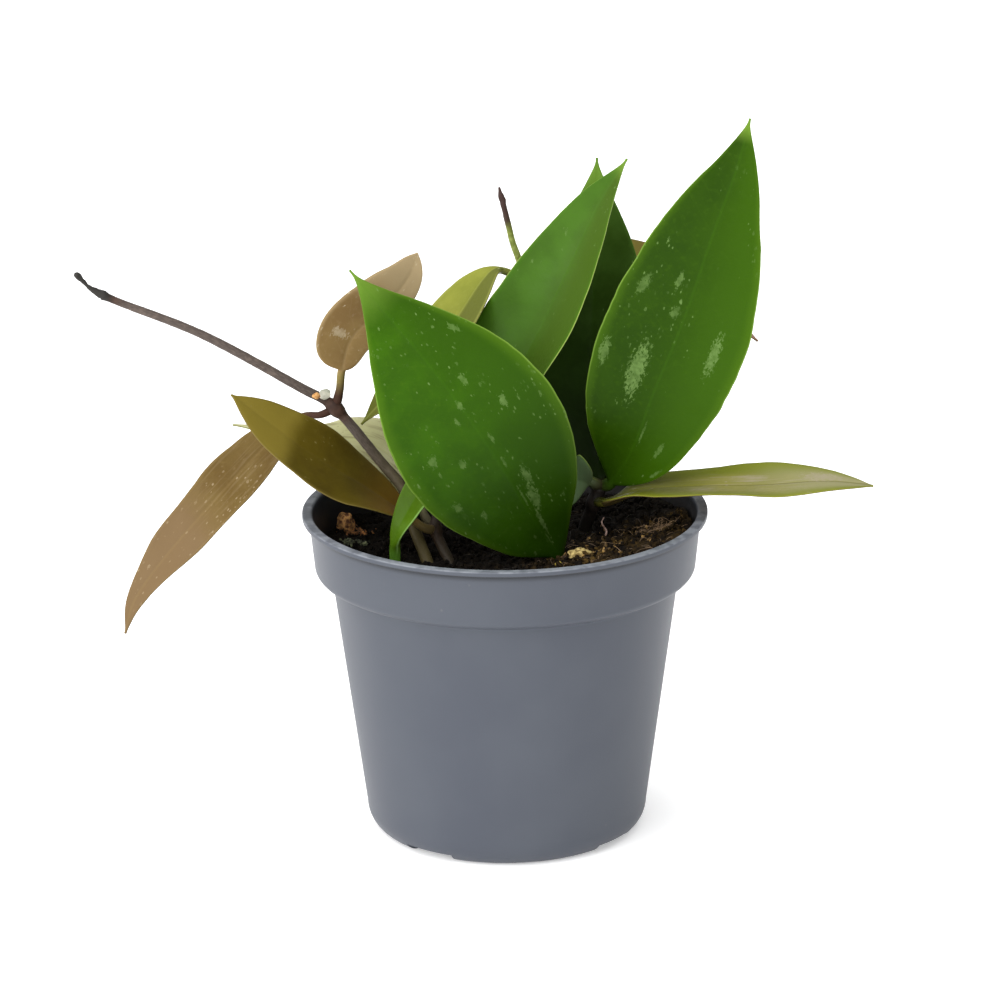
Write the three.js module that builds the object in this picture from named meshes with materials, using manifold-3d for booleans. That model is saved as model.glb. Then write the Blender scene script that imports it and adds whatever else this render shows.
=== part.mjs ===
// A small potted hoya: a thin-walled nursery pot filled with potting mix, three stems and twelve leaves.
// Millimetres, +Z up. The origin is the centre of the pot's foot, on the surface that it stands on.
// -Y is the front. Leaf sides are named as seen with the tip up and the upper face towards the viewer.

import * as THREE from 'three';
import { mergeVertices } from 'three/addons/utils/BufferGeometryUtils.js';
import Module from 'manifold-3d';

const wasm = await Module();
wasm.setup();

// Pot: a 12 cm nursery pot with a collar, a shoulder and a tapered body
const POT_HEIGHT = 98;
const LIP_RADIUS = 60;
const LIP_HEIGHT = 1.6;
const LIP_ROUND = 0.4;
const COLLAR_TOP_RADIUS = 58;
const COLLAR_FOOT_RADIUS = 56.4;
const COLLAR_HEIGHT = 17.2;
const SHOULDER_RADIUS = 51.4;
const SHOULDER_HEIGHT = 3;
const BODY_FOOT_RADIUS = 41.9;
const FOOT_RADIUS = 35.7;
const FOOT_ROUND_HEIGHT = 7.5;
const WALL = 1.1;
const FLOOR_TOP = 3.8;
const FLOOR_RAISE = 2.6;
const FOOT_RING_WIDTH = 4.7;
const FOOT_SLANT = 0.6;
const CENTRE_PAD_RADIUS = 12;
const POT_SIDES = 60;
const NOTCH_COUNT = 4;
const NOTCH_TURN = -36;
const WIDE_NOTCH = { angle: 23.4, depth: FLOOR_RAISE };
const NARROW_NOTCH = { angle: 10, depth: 0.5 };
const DRAIN_HOLES = 8;
const DRAIN_RADIUS = 3;
const DRAIN_CIRCLE = 22;
const INNER_CORNER = { reach: 4.2, rise: 5 };

// Potting mix: low on the left, higher towards the right wall
const GAP = 0.3;
const SOIL_LEVEL = 84.3;
const SOIL_RISE_RIGHT = 7.5;
const SOIL_RISE_LEFT = 1.6;
const SOIL_LUMP = 0.45;
const SOIL_HOLLOW = { at: [6, -12], depth: 1.2, reach: 14 };
const SOIL_SIDES = 42;
const SOIL_RINGS = 10;
const SOIL_SEED = 7;
const CHIP_BED = 0.15;
const CHIP_ROUGH = { least: 0.85, spread: 0.3 };

// Leaves and stems
const LEAF_THICKNESS = 1.2;
const LEAF_TIP_RADIUS = 0.35;
const LEAF_SIDES = 12;
const LEAF_STEPS = 18;
const STALK_STEPS = 3;
const EDGE_WAVE = 0.7;
const EDGE_WAVE_SHIFT = 1.7;
const BLADE_SQUARENESS = 0.6;
const TIP_TAPER = 0.02;
const BLADE_START = [-0.02, 0.1];
const TIP_THINS_FROM = 0.85;
const FOLD_CURVE = 1.5;
const STEM_SIDES = 10;
const STEM_STEP = 6;
const KNOT_LENGTH = 1.6;
const RING_APART = 0.4;
const HOLE_ALLOWANCE = 0.1;
const FACE_UP = [[0, -0.1, 1], [0, -0.1, 1]];
const FACE_FRONT = [[0.1, -1, 0.2], [0, -1, 0.2]];

const COLOURS = {
  pot: 0x767c88, soil: 0x2a1c12, green: 0x3f7d16, dark: 0x1d3a10, light: 0x6c9a2c,
  bronze: 0x9c7a55, olive: 0x6e5c1a, pale: 0x9aa266, yellow: 0xa3a53a, bark: 0xa0602c,
  stem: 0x6a5148, chip: 0xc9a24a,
};

const rad = THREE.MathUtils.degToRad;
const vec = (p) => new THREE.Vector3(p[0], p[1], p[2]);

function material(colour, roughness) {
  return new THREE.MeshStandardMaterial({ color: colour, roughness, metalness: 0 });
}

// Small repeatable random numbers between 0 and 1
function randomSource(seed) {
  let state = seed;
  return () => {
    state = (state * 16807) % 2147483647;
    return state / 2147483647;
  };
}

function toSolid(geometry) {
  const bare = geometry.clone();
  bare.deleteAttribute('normal');
  bare.deleteAttribute('uv');
  const merged = mergeVertices(bare, 1e-3);
  return new wasm.Manifold(new wasm.Mesh({
    numProp: 3,
    vertProperties: new Float32Array(merged.attributes.position.array),
    triVerts: new Uint32Array(merged.index.array),
  }));
}

function toGeometry(solid) {
  const mesh = solid.getMesh();
  const geometry = new THREE.BufferGeometry();
  geometry.setAttribute('position', new THREE.BufferAttribute(mesh.vertProperties, 3));
  geometry.setIndex(new THREE.BufferAttribute(mesh.triVerts, 1));
  geometry.computeVertexNormals();
  return geometry;
}

// A closed skin over rings of equal count. Each ring runs anticlockwise as seen from its end,
// and both ends close on a centre point. mirrored tells whether the second half of a ring is the
// underside of the first, so that its triangles are split alike on both faces.
function loft(rings, start, end, mirrored = false) {
  const count = rings[0].length;
  const positions = [];
  rings.flat().concat([start, end]).forEach((p) => positions.push(p.x, p.y, p.z));
  const index = [];
  for (let i = 0; i < rings.length - 1; i += 1) {
    for (let j = 0; j < count; j += 1) {
      const a = i * count + j;
      const b = i * count + (j + 1) % count;
      const c = b + count;
      const d = a + count;
      if (mirrored && j >= count / 2) index.push(a, b, d, b, c, d);
      else index.push(a, b, c, a, c, d);
    }
  }
  const first = rings.length * count;
  const last = (rings.length - 1) * count;
  for (let j = 0; j < count; j += 1) {
    const next = (j + 1) % count;
    index.push(first, next, j);
    index.push(first + 1, last + j, last + next);
  }
  const geometry = new THREE.BufferGeometry();
  geometry.setAttribute('position', new THREE.Float32BufferAttribute(positions, 3));
  geometry.setIndex(index);
  geometry.computeVertexNormals();
  return geometry;
}

// Curve through a few points, with arc lengths fine enough to space rings evenly
function curveThrough(points) {
  const curve = new THREE.CatmullRomCurve3(points.map(vec), false, 'catmullrom', 0.5);
  curve.arcLengthDivisions = 600;
  return curve;
}

// Leaf: the half width grows as v^a and falls as (1 - v)^b, with 1 at the widest place, and the last
// few hundredths draw in to a drip tip.
function bladeShape(v, a, b) {
  if (v <= 0 || v >= 1) return 0;
  const widest = a / (a + b);
  const broad = (v ** a * (1 - v) ** b) / (widest ** a * (1 - widest) ** b);
  return (broad * (1 - v) * (1 + TIP_TAPER)) / (1 - v + TIP_TAPER);
}

// One leaf with its stalk: a ring section carried along the midrib, round in the stalk and
// flat in the blade, folded a little along the rib, with a slow wave along its edges.
function leafGeometry(leaf) {
  const curve = curveThrough(leaf.path);
  const length = curve.getLength();
  const blade = length - leaf.stalk;
  const places = [];
  for (let i = 0; i < STALK_STEPS; i += 1) {
    places.push(leaf.clear + ((leaf.stalk - leaf.clear) * i) / STALK_STEPS);
  }
  for (let i = 0; i <= LEAF_STEPS; i += 1) {
    places.push(leaf.stalk + (blade * (1 - Math.cos((Math.PI * i) / LEAF_STEPS))) / 2);
  }
  const centres = [];
  const rings = places.map((s) => {
    const t = s / length;
    const centre = curve.getPointAt(t);
    const along = curve.getTangentAt(t);
    const face = vec(leaf.face[0]).lerp(vec(leaf.face[1]), t);
    const normal = face.addScaledVector(along, -face.dot(along)).normalize();
    const side = along.clone().cross(normal);
    const roll = rad(THREE.MathUtils.lerp(leaf.roll[0], leaf.roll[1], t));
    const up = normal.clone().multiplyScalar(Math.cos(roll)).addScaledVector(side, Math.sin(roll));
    const right = side.multiplyScalar(Math.cos(roll)).addScaledVector(normal, -Math.sin(roll));
    const v = (s - leaf.stalk) / blade;
    const flat = THREE.MathUtils.smoothstep(v, ...BLADE_START);
    const rib = THREE.MathUtils.lerp(leaf.stalkRadius, LEAF_TIP_RADIUS, THREE.MathUtils.clamp(v, 0, 1));
    const half = THREE.MathUtils.lerp(leaf.stalkRadius, LEAF_THICKNESS / 2, flat);
    const thin = THREE.MathUtils.smoothstep(v, TIP_THINS_FROM, 1);
    const height = THREE.MathUtils.lerp(half, LEAF_TIP_RADIUS, thin);
    const power = THREE.MathUtils.lerp(1, BLADE_SQUARENESS, flat);
    centres.push(centre);
    return Array.from({ length: LEAF_SIDES }, (_, j) => {
      const angle = (-2 * Math.PI * j) / LEAF_SIDES;
      const x = Math.cos(angle);
      const wide = leaf.half[x < 0 ? 0 : 1] * bladeShape(v, leaf.a, leaf.b);
      const reach = x * Math.hypot(wide * Math.cos(rad(leaf.fold)), rib);
      const fold = wide * Math.sin(rad(leaf.fold)) * Math.abs(x) ** FOLD_CURVE;
      const phase = 2 * Math.PI * leaf.waves * v + (x < 0 ? 0 : EDGE_WAVE_SHIFT);
      const wave = v > 0 ? EDGE_WAVE * Math.sin(phase) * x * x * 4 * v * (1 - v) : 0;
      const skin = Math.sign(Math.sin(angle)) * height * Math.abs(Math.sin(angle)) ** power;
      return centre.clone().addScaledVector(right, reach).addScaledVector(up, fold + wave + skin);
    });
  });
  return loft(rings, centres[0], centres[centres.length - 1], true);
}

// A round stem of changing radius along a curve. knots swell it where leaves join, and its end narrows to
// a radius between two distances from the tip.
function stemGeometry(stem) {
  const curve = curveThrough(stem.path);
  const length = curve.getLength();
  const steps = Math.ceil(length / STEM_STEP);
  const knots = stem.knots.map((knot) => ({ ...knot, at: nearestLength(curve, vec(knot.point)) }));
  const places = Array.from({ length: steps + 1 }, (_, i) => (length * i) / steps);
  knots.forEach((knot) => places.push(knot.at - knot.radius, knot.at, knot.at + knot.radius));
  places.push(length - stem.end.from, length - stem.end.to);
  const used = places.filter((s) => s >= 0 && s <= length).sort((p, q) => p - q);
  const apart = used.filter((s, i) => i === 0 || s - used[i - 1] > RING_APART);
  const frames = { side: new THREE.Vector3(1, 0, 0) };
  const rings = apart.map((s) => {
    const t = s / length;
    const centre = curve.getPointAt(t);
    const along = curve.getTangentAt(t);
    frames.side.addScaledVector(along, -frames.side.dot(along)).normalize();
    const up = along.clone().cross(frames.side);
    const narrow = THREE.MathUtils.smoothstep(s, length - stem.end.from, length - stem.end.to);
    const thick = THREE.MathUtils.lerp(stem.radius[0], stem.radius[1], t);
    const plain = THREE.MathUtils.lerp(thick, stem.end.radius, narrow);
    const radius = knots.reduce((r, knot) => {
      const near = Math.abs(s - knot.at) / (KNOT_LENGTH * knot.radius);
      return Math.max(r, knot.radius * Math.sqrt(Math.max(0, 1 - near * near)));
    }, plain);
    return Array.from({ length: STEM_SIDES }, (_, j) => {
      const angle = (2 * Math.PI * j) / STEM_SIDES;
      return centre.clone().addScaledVector(frames.side, radius * Math.cos(angle))
        .addScaledVector(up, radius * Math.sin(angle));
    });
  });
  return loft(rings, curve.getPointAt(0), curve.getPointAt(1));
}

// Arc length of the curve's place nearest to a point
function nearestLength(curve, point) {
  const tries = Array.from({ length: 401 }, (_, i) => i / 400);
  const best = tries.reduce((a, b) => (
    curve.getPointAt(a).distanceTo(point) <= curve.getPointAt(b).distanceTo(point) ? a : b));
  return best * curve.getLength();
}

// Pot wall
const collarFootZ = POT_HEIGHT - COLLAR_HEIGHT;
const shoulderZ = collarFootZ - SHOULDER_HEIGHT;
const lipFootZ = POT_HEIGHT - LIP_HEIGHT;

// Points of a quarter ellipse that turns from pointing outwards to pointing up
function roundCorner(r, z, reach, rise, steps) {
  return Array.from({ length: steps + 1 }, (_, i) => {
    const angle = (Math.PI / 2) * (i / steps);
    return [r + reach * Math.sin(angle), z + rise * (1 - Math.cos(angle))];
  });
}

function potProfile() {
  const footInner = FOOT_RADIUS - FOOT_RING_WIDTH;
  const outside = [
    [0, 0],
    [CENTRE_PAD_RADIUS, 0],
    [CENTRE_PAD_RADIUS + FOOT_SLANT, FLOOR_RAISE],
    [footInner - FOOT_SLANT, FLOOR_RAISE],
    [footInner, 0],
    ...roundCorner(FOOT_RADIUS, 0, BODY_FOOT_RADIUS - FOOT_RADIUS, FOOT_ROUND_HEIGHT, 5),
    [SHOULDER_RADIUS, shoulderZ],
    [SHOULDER_RADIUS + 1.2, shoulderZ + 0.8],
    [COLLAR_FOOT_RADIUS - 1, collarFootZ - 1.3],
    [COLLAR_FOOT_RADIUS - 0.2, collarFootZ - 0.6],
    [COLLAR_FOOT_RADIUS, collarFootZ + 0.2],
    [COLLAR_TOP_RADIUS, lipFootZ],
    [LIP_RADIUS - LIP_ROUND, lipFootZ + 0.1],
    [LIP_RADIUS, lipFootZ + 0.6],
    [LIP_RADIUS, POT_HEIGHT - LIP_ROUND],
    [LIP_RADIUS - LIP_ROUND, POT_HEIGHT],
  ];
  return [...outside, ...potInside().reverse(), [0, FLOOR_TOP]];
}

// The inner skin from the floor up to the lip
function potInside() {
  const { reach, rise } = INNER_CORNER;
  const bodyFoot = BODY_FOOT_RADIUS - WALL;
  return [
    ...roundCorner(bodyFoot - reach, FLOOR_TOP, reach, rise, 3),
    [SHOULDER_RADIUS - WALL, shoulderZ + 0.7],
    [COLLAR_FOOT_RADIUS - 2 * WALL, collarFootZ - 0.3],
    [COLLAR_FOOT_RADIUS - WALL, collarFootZ + 0.5],
    [COLLAR_TOP_RADIUS - WALL, POT_HEIGHT - 0.5],
    [COLLAR_TOP_RADIUS - WALL + 0.5, POT_HEIGHT],
  ];
}

// A wedge of the given half angle, standing on the pot's axis, from inner to outer radius
function wedge(turn, angle, inner, outer, height) {
  const shape = new THREE.Shape();
  shape.absarc(0, 0, outer, rad(turn - angle / 2), rad(turn + angle / 2), false);
  shape.absarc(0, 0, inner, rad(turn + angle / 2), rad(turn - angle / 2), true);
  shape.closePath();
  const settings = { depth: height + 1, bevelEnabled: false, curveSegments: 6 };
  return new THREE.ExtrudeGeometry(shape, settings).translate(0, 0, -1);
}

function potGeometry() {
  const profile = potProfile().map(([r, z]) => new THREE.Vector2(r, z));
  let pot = toSolid(new THREE.LatheGeometry(profile, POT_SIDES).rotateX(Math.PI / 2));
  const front = -90;
  for (let i = 0; i < NOTCH_COUNT; i += 1) {
    const turn = front + NOTCH_TURN + (360 * i) / NOTCH_COUNT;
    const inner = FOOT_RADIUS - FOOT_RING_WIDTH - 1;
    const outer = BODY_FOOT_RADIUS + 4;
    pot = pot.subtract(toSolid(wedge(turn, WIDE_NOTCH.angle, inner, outer, WIDE_NOTCH.depth)));
    pot = pot.subtract(toSolid(wedge(turn + 45, NARROW_NOTCH.angle, inner, outer, NARROW_NOTCH.depth)));
  }
  for (let i = 0; i < DRAIN_HOLES; i += 1) {
    const turn = rad((360 * (i + 0.5)) / DRAIN_HOLES);
    const hole = new THREE.CylinderGeometry(DRAIN_RADIUS, DRAIN_RADIUS, 4, 12).rotateX(Math.PI / 2);
    hole.translate(DRAIN_CIRCLE * Math.cos(turn), DRAIN_CIRCLE * Math.sin(turn), FLOOR_TOP);
    pot = pot.subtract(toSolid(hole));
  }
  return toGeometry(pot);
}

// Potting mix: its side follows the pot's inner skin at the gap, its top is lumpy
function soilHeight(x, y) {
  const right = SOIL_RISE_RIGHT * Math.max(0, (x + 5) / 55) ** 2;
  const left = SOIL_RISE_LEFT * Math.max(0, (-x - 20) / 32) ** 2;
  const small = Math.sin(x * 0.61 + 1.3) * Math.cos(y * 0.53 - 0.4);
  const broad = Math.sin(x * 0.37 - y * 0.71 + 2.1);
  const away = Math.hypot(x - SOIL_HOLLOW.at[0], y - SOIL_HOLLOW.at[1]) / SOIL_HOLLOW.reach;
  const hollow = SOIL_HOLLOW.depth * Math.exp(-away * away);
  return SOIL_LEVEL + right + left + SOIL_LUMP * (small + broad) - hollow;
}

function soilGeometry() {
  const random = randomSource(SOIL_SEED);
  const inside = potInside().map(([r, z]) => [r - GAP, z + GAP]);
  const side = inside.slice(0, -2);
  const topRadius = COLLAR_FOOT_RADIUS - WALL - GAP;
  const slope = (COLLAR_TOP_RADIUS - COLLAR_FOOT_RADIUS) / (COLLAR_HEIGHT - LIP_HEIGHT);
  const turns = Array.from({ length: SOIL_SIDES }, (_, k) => (2 * Math.PI * k) / SOIL_SIDES);
  const atTurn = (r, t, z) => new THREE.Vector3(r * Math.cos(t), r * Math.sin(t), z);
  const rings = side.map(([r, z]) => turns.map((t) => atTurn(r, t, z)));
  for (let i = 0; i < SOIL_RINGS; i += 1) {
    const share = 1 - i / SOIL_RINGS;
    rings.push(turns.map((t) => {
      const rough = soilHeight(topRadius * share * Math.cos(t), topRadius * share * Math.sin(t));
      const z = rough + (i === 0 ? 0 : SOIL_LUMP * (random() - 0.5) * 2);
      const r = (topRadius + slope * Math.max(0, z - collarFootZ - 1) * (i === 0 ? 1 : 0)) * share;
      return atTurn(r, t, z);
    }));
  }
  return loft(rings, new THREE.Vector3(0, 0, side[0][1]), new THREE.Vector3(0, 0, soilHeight(0, 0)));
}

// A small rough chip of bark or clay lying half sunk in the mix
function chipGeometry(chip, grow = 0) {
  const random = randomSource(chip.seed);
  const ball = new THREE.IcosahedronGeometry(1, 1).deleteAttribute('normal').deleteAttribute('uv');
  const geometry = mergeVertices(ball);
  const place = geometry.attributes.position;
  for (let i = 0; i < place.count; i += 1) {
    const rough = CHIP_ROUGH.least + CHIP_ROUGH.spread * random();
    place.setXYZ(
      i,
      place.getX(i) * (chip.size[0] / 2) * rough * (1 + grow),
      place.getY(i) * (chip.size[1] / 2) * rough * (1 + grow),
      place.getZ(i) * (chip.size[2] / 2) * rough * (1 + grow),
    );
  }
  geometry.rotateZ(rad(chip.turn));
  return geometry.translate(...chip.at);
}

const STEMS = {
  left_stem: {
    path: [[-22.5, -8, 75.5], [-22.5, -9.5, 83], [-27, -1, 93], [-30, 5, 102.5], [-37, 10, 110],
      [-50, 13, 125.5], [-60.5, 11, 132.8], [-89, 7, 150.4], [-116.6, 3, 163.3], [-125, 1, 170.8]],
    radius: [1.8, 1.05],
    knots: [{ point: [-50, 13, 125.5], radius: 2.4 }, { point: [-117, 3, 163.6], radius: 1.5 },
      { point: [-124.2, 1.2, 170.1], radius: 1.15 }],
    end: { from: 10, to: 5, radius: 0.6 },
  },
  back_stem: {
    path: [[-16, -8, 75.5], [-16, -9, 83], [-20.5, -2, 92.5], [-18, 5, 99.5], [-14, 18, 110],
      [-9, 29, 124], [-3, 36.5, 139], [5.5, 40, 156], [2.5, 41, 170.5], [-1, 42, 185.5]],
    radius: [1.65, 0.85],
    knots: [{ point: [-20.5, -2, 92.5], radius: 2.2 }, { point: [5.5, 40, 156], radius: 1.9 },
      { point: [-0.3, 42, 182.3], radius: 0.95 }],
    end: { from: 4.5, to: 0, radius: 0.3 },
  },
  right_stem: {
    path: [[23, 13, 77], [23.5, 13, 86], [25.5, 10.5, 93], [26.7, 9, 97], [28.5, 9.5, 102.5]],
    radius: [2, 1.9],
    knots: [{ point: [26.7, 9, 97], radius: 2.5 }, { point: [28.4, 9.4, 101.5], radius: 2.5 }],
    end: { from: 0.5, to: 0, radius: 1.7 },
  },
};

// path: midrib from the stalk's root to the tip. clear: where the stalk starts, clear of its stem.
// half: half widths left and right. a, b: fullness towards the base and the tip.
const LEAVES = {
  front_leaf: {
    colour: COLOURS.green,
    path: [[16, -4, 76], [15.5, -7, 85.5], [9, -11, 97], [-0.5, -13, 114], [-13, -13, 134],
      [-28.5, -11, 154.5], [-44.5, -8, 173.5]],
    clear: 0, stalk: 9, stalkRadius: 1.8, half: [26.6, 25.5], a: 1.07, b: 1.38,
    face: FACE_FRONT, roll: [1, 1], fold: 6, waves: 2,
  },
  low_leaf: {
    colour: COLOURS.light,
    path: [[-32.5, -7, 77], [-32.5, -8.5, 84.5], [-32, -12, 93], [-28.5, -11.9, 100.5],
      [-23.5, -10, 108.5], [-16, -8, 119], [-7.5, -6, 129]],
    clear: 0, stalk: 14, stalkRadius: 1.6, half: [6.2, 6.2], a: 0.8, b: 0.52,
    face: [[-0.6, -1, 0.3], [-0.6, -1, 0.3]], roll: [-14, -15], fold: 12, waves: 1,
  },
  middle_leaf: {
    colour: COLOURS.green,
    path: [[28.5, 9.5, 101.5], [25.5, 7, 104], [15.5, 7, 108.5], [7.5, 9, 121.5], [5.5, 12, 136.5],
      [13, 14, 153], [21, 15, 170.5], [28.5, 15, 187], [36.5, 14, 200.5]],
    clear: 3, stalk: 5, stalkRadius: 1.5, half: [21.1, 21.2], a: 0.52, b: 1.01,
    face: [[-0.5, -0.8, 0.5], [-0.75, -0.6, 0.25]], roll: [-43, 27], fold: 22, waves: 1,
  },
  dark_leaf: {
    colour: COLOURS.dark,
    path: [[28.5, 9.5, 101.5], [29, 15, 102.5], [27.5, 23, 115], [26.5, 28, 132.5], [27, 30, 153.5],
      [28, 30, 175], [28, 28, 197.5]],
    clear: 3, stalk: 5, stalkRadius: 1.5, half: [20.2, 20.3], a: 0.69, b: 1.08,
    face: [[-0.2, -1, 0.2], [-0.4, -0.9, 0.2]], roll: [-1, 5], fold: 8, waves: 2,
  },
  right_leaf: {
    colour: COLOURS.green,
    path: [[28.5, 9.5, 101.5], [32, 7.5, 104], [38, 2, 116], [44, 0, 133.5], [52.5, 0, 155],
      [61.5, 1, 182], [68, 3, 200], [72, 5, 214.5]],
    clear: 3, stalk: 4.5, stalkRadius: 1.6, half: [22.3, 21.2], a: 0.75, b: 1.05,
    face: [[-0.1, -1, 0.3], [0, -1, 0.2]], roll: [3, 0], fold: 6, waves: 2,
  },
  low_right_leaf: {
    colour: COLOURS.pale,
    path: [[26.7, 9, 97], [31, 3, 99], [40.5, 0, 103], [58, -3, 105], [76, -5, 105.8],
      [93.5, -6, 107.1], [108.5, -6, 106]],
    clear: 3, stalk: 6, stalkRadius: 1.3, half: [14.4, 13.9], a: 0.61, b: 0.74,
    face: FACE_UP, roll: [-11, 4], fold: 8, waves: 2,
  },
  small_leaf: {
    colour: COLOURS.bronze,
    path: [[-50, 13, 125.5], [-48.6, 12.3, 131.5], [-47.8, 11.3, 138], [-44.5, 9, 148.5],
      [-35.5, 8, 157.5], [-28.5, 8, 166], [-25, 9, 174]],
    clear: 3, stalk: 13, stalkRadius: 1.2, half: [11.8, 6.8], a: 0.4, b: 0.5,
    face: [[0, -1, 0.2], [0, -1, 0.2]], roll: [5, 29], fold: 6, waves: 1,
  },
  olive_leaf: {
    colour: COLOURS.olive,
    path: [[-20.5, -2, 92.5], [-23.5, -4.5, 93.5], [-29, -3.8, 97.2], [-41, -5, 106.5], [-54.5, -8, 116],
      [-67.5, -9.5, 126.5], [-79.5, -11, 137]],
    clear: 2.6, stalk: 9.3, stalkRadius: 1.2, half: [13.2, 12.3], a: 0.77, b: 0.86,
    face: [[0.4, -0.4, 0.7], [0.4, -0.4, 0.7]], roll: [14, -16], fold: 8, waves: 2,
  },
  drooping_leaf: {
    colour: COLOURS.bronze,
    path: [[-50, 13, 125.5], [-54.5, 13, 123.5], [-59, 14, 123], [-64, 13, 121], [-72, 10, 113.5],
      [-85, 7, 100], [-100, 4, 83.5], [-110, 2, 70], [-113.5, 1, 59.5]],
    clear: 2.8, stalk: 12, stalkRadius: 1, half: [8.4, 8.7], a: 0.56, b: 0.87,
    face: [[-0.35, -0.85, 0.4], [-0.45, -0.8, 0.3]], roll: [0, 4], fold: 8, waves: 3,
  },
  pale_leaf: {
    colour: COLOURS.pale,
    path: [[-20.5, -2, 92.5], [-24, 2.5, 95.5], [-27.5, 14, 104], [-41, 24, 111], [-55, 27, 112],
      [-69, 29, 114], [-81.5, 30, 115.5]],
    clear: 4.2, stalk: 10, stalkRadius: 1.2, half: [15.1, 15.1], a: 0.47, b: 1.29,
    face: [[0.1, -0.35, 1], [0, -0.3, 1]], roll: [-5, 16], fold: 4, waves: 2,
  },
  yellow_leaf: {
    colour: COLOURS.yellow,
    path: [[5.5, 40, 156], [1.5, 38, 160], [-2.5, 36, 161], [-6.5, 33, 158], [-15, 27, 147],
      [-28, 21, 133.5], [-42.5, 16, 119.5]],
    clear: 3.8, stalk: 8, stalkRadius: 1.1, half: [12.6, 13.6], a: 0.89, b: 1.17,
    face: [[-0.4, -0.2, 0.8], [-0.6, -0.5, 0.5]], roll: [-1, 0], fold: 8, waves: 1,
  },
  hidden_leaf: {
    colour: COLOURS.bronze,
    path: [[5.5, 40, 156], [11, 43, 158.5], [24.5, 46, 162], [41, 46, 160.5], [59, 43, 151],
      [76.5, 38, 138]],
    clear: 2.8, stalk: 8, stalkRadius: 1.1, half: [11.1, 10.8], a: 0.67, b: 0.97,
    face: [[0, -0.3, 1], [0.3, -0.4, 0.9]], roll: [-1, -3], fold: 8, waves: 2,
  },
};

const CHIPS = {
  clay_chip: { at: [21.8, -8.3, 86.2], size: [8, 5, 3.6], turn: 12, seed: 11, colour: COLOURS.chip },
  bark_chip: { at: [-47.6, 19.6, 87], size: [5, 5.4, 7.6], turn: 60, seed: 23, colour: COLOURS.bark },
};

// A stalk or stem a little thicker all round, which leaves its plain hole in the mix
const grownStem = (stem) => ({
  ...stem,
  radius: stem.radius.map((r) => r + GAP),
  path: [stem.path[0].map((p, i) => (i === 2 ? p - GAP : p)), ...stem.path.slice(1)],
  knots: [],
  end: { from: 1, to: 0, radius: stem.radius[1] + GAP },
});
const stalkHole = (leaf) => {
  const radius = leaf.stalkRadius + HOLE_ALLOWANCE;
  return grownStem({ path: leaf.path.slice(0, 3), radius: [radius, radius] });
};

const plant = new THREE.Group();

function add(name, geometry, colour, roughness) {
  const mesh = new THREE.Mesh(geometry, material(colour, roughness));
  mesh.name = name;
  plant.add(mesh);
}

let soil = toSolid(soilGeometry());
Object.values(STEMS).forEach((stem) => {
  soil = soil.subtract(toSolid(stemGeometry(grownStem(stem))));
});
[LEAVES.front_leaf, LEAVES.low_leaf].forEach((leaf) => {
  soil = soil.subtract(toSolid(stemGeometry(stalkHole(leaf))));
});
Object.values(CHIPS).forEach((chip) => {
  soil = soil.subtract(toSolid(chipGeometry(chip, CHIP_BED)));
});

add('pot', potGeometry(), COLOURS.pot, 0.55);
add('soil', toGeometry(soil), COLOURS.soil, 0.95);
Object.entries(STEMS).forEach(([name, stem]) => add(name, stemGeometry(stem), COLOURS.stem, 0.7));
Object.entries(LEAVES).forEach(([name, leaf]) => add(name, leafGeometry(leaf), leaf.colour, 0.4));
Object.entries(CHIPS).forEach(([name, chip]) => add(name, chipGeometry(chip), chip.colour, 0.9));

export default plant;
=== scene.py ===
"""A small potted hoya: nursery pot, potting mix, three stems and twelve leaves.

Sizes are millimetres, as on the real plant, and the mesh functions turn them into metres.
-Y is the front. Leaf sides are named as seen with the tip up and the upper face towards the viewer.
"""
import itertools
import math

import bpy
import numpy as np
from mathutils import Matrix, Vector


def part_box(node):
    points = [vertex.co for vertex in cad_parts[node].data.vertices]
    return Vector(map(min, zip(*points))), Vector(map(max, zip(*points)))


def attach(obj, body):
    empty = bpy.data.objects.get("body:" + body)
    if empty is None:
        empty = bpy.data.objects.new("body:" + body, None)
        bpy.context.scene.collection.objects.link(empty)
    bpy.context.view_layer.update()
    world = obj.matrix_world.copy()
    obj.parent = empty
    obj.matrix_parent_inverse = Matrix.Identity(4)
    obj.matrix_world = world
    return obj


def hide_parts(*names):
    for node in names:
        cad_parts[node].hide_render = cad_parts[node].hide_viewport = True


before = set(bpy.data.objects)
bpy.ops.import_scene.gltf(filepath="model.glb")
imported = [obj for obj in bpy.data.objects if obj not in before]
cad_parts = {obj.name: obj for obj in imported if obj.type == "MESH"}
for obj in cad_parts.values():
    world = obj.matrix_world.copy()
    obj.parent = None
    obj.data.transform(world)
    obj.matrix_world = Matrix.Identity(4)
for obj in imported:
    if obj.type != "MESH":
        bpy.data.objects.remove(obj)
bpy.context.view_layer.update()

# The pot: a thin-walled nursery pot, injection moulded in blue-grey polypropylene. A rolled lip and a
# collar stiffen its mouth, and notches in its foot ring let the water from the drain holes run away.
MM = 0.001
POT_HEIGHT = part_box("pot")[1][2] / MM
LIP_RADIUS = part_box("pot")[1][0] / MM
LIP_HEIGHT = 1.6
COLLAR_TOP_RADIUS = LIP_RADIUS - 2
COLLAR_FOOT_RADIUS = LIP_RADIUS - 3.6
COLLAR_HEIGHT = 17.2
SHOULDER_RADIUS = 51.4
SHOULDER_HEIGHT = 3
BODY_FOOT_RADIUS = 41.9
FOOT_RADIUS = 35.7
FOOT_ROUND_HEIGHT = 7.5
WALL = 1.1
FLOOR_TOP = 3.8
FLOOR_RAISE = 2.6
FOOT_RING_WIDTH = 4.7
CENTRE_PAD_RADIUS = 12
WIDE_NOTCH = (23.4, FLOOR_RAISE)
NARROW_NOTCH = (10, 0.5)
NOTCH_TURN = -36
NOTCH_EDGE = math.radians(0.04)
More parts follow.
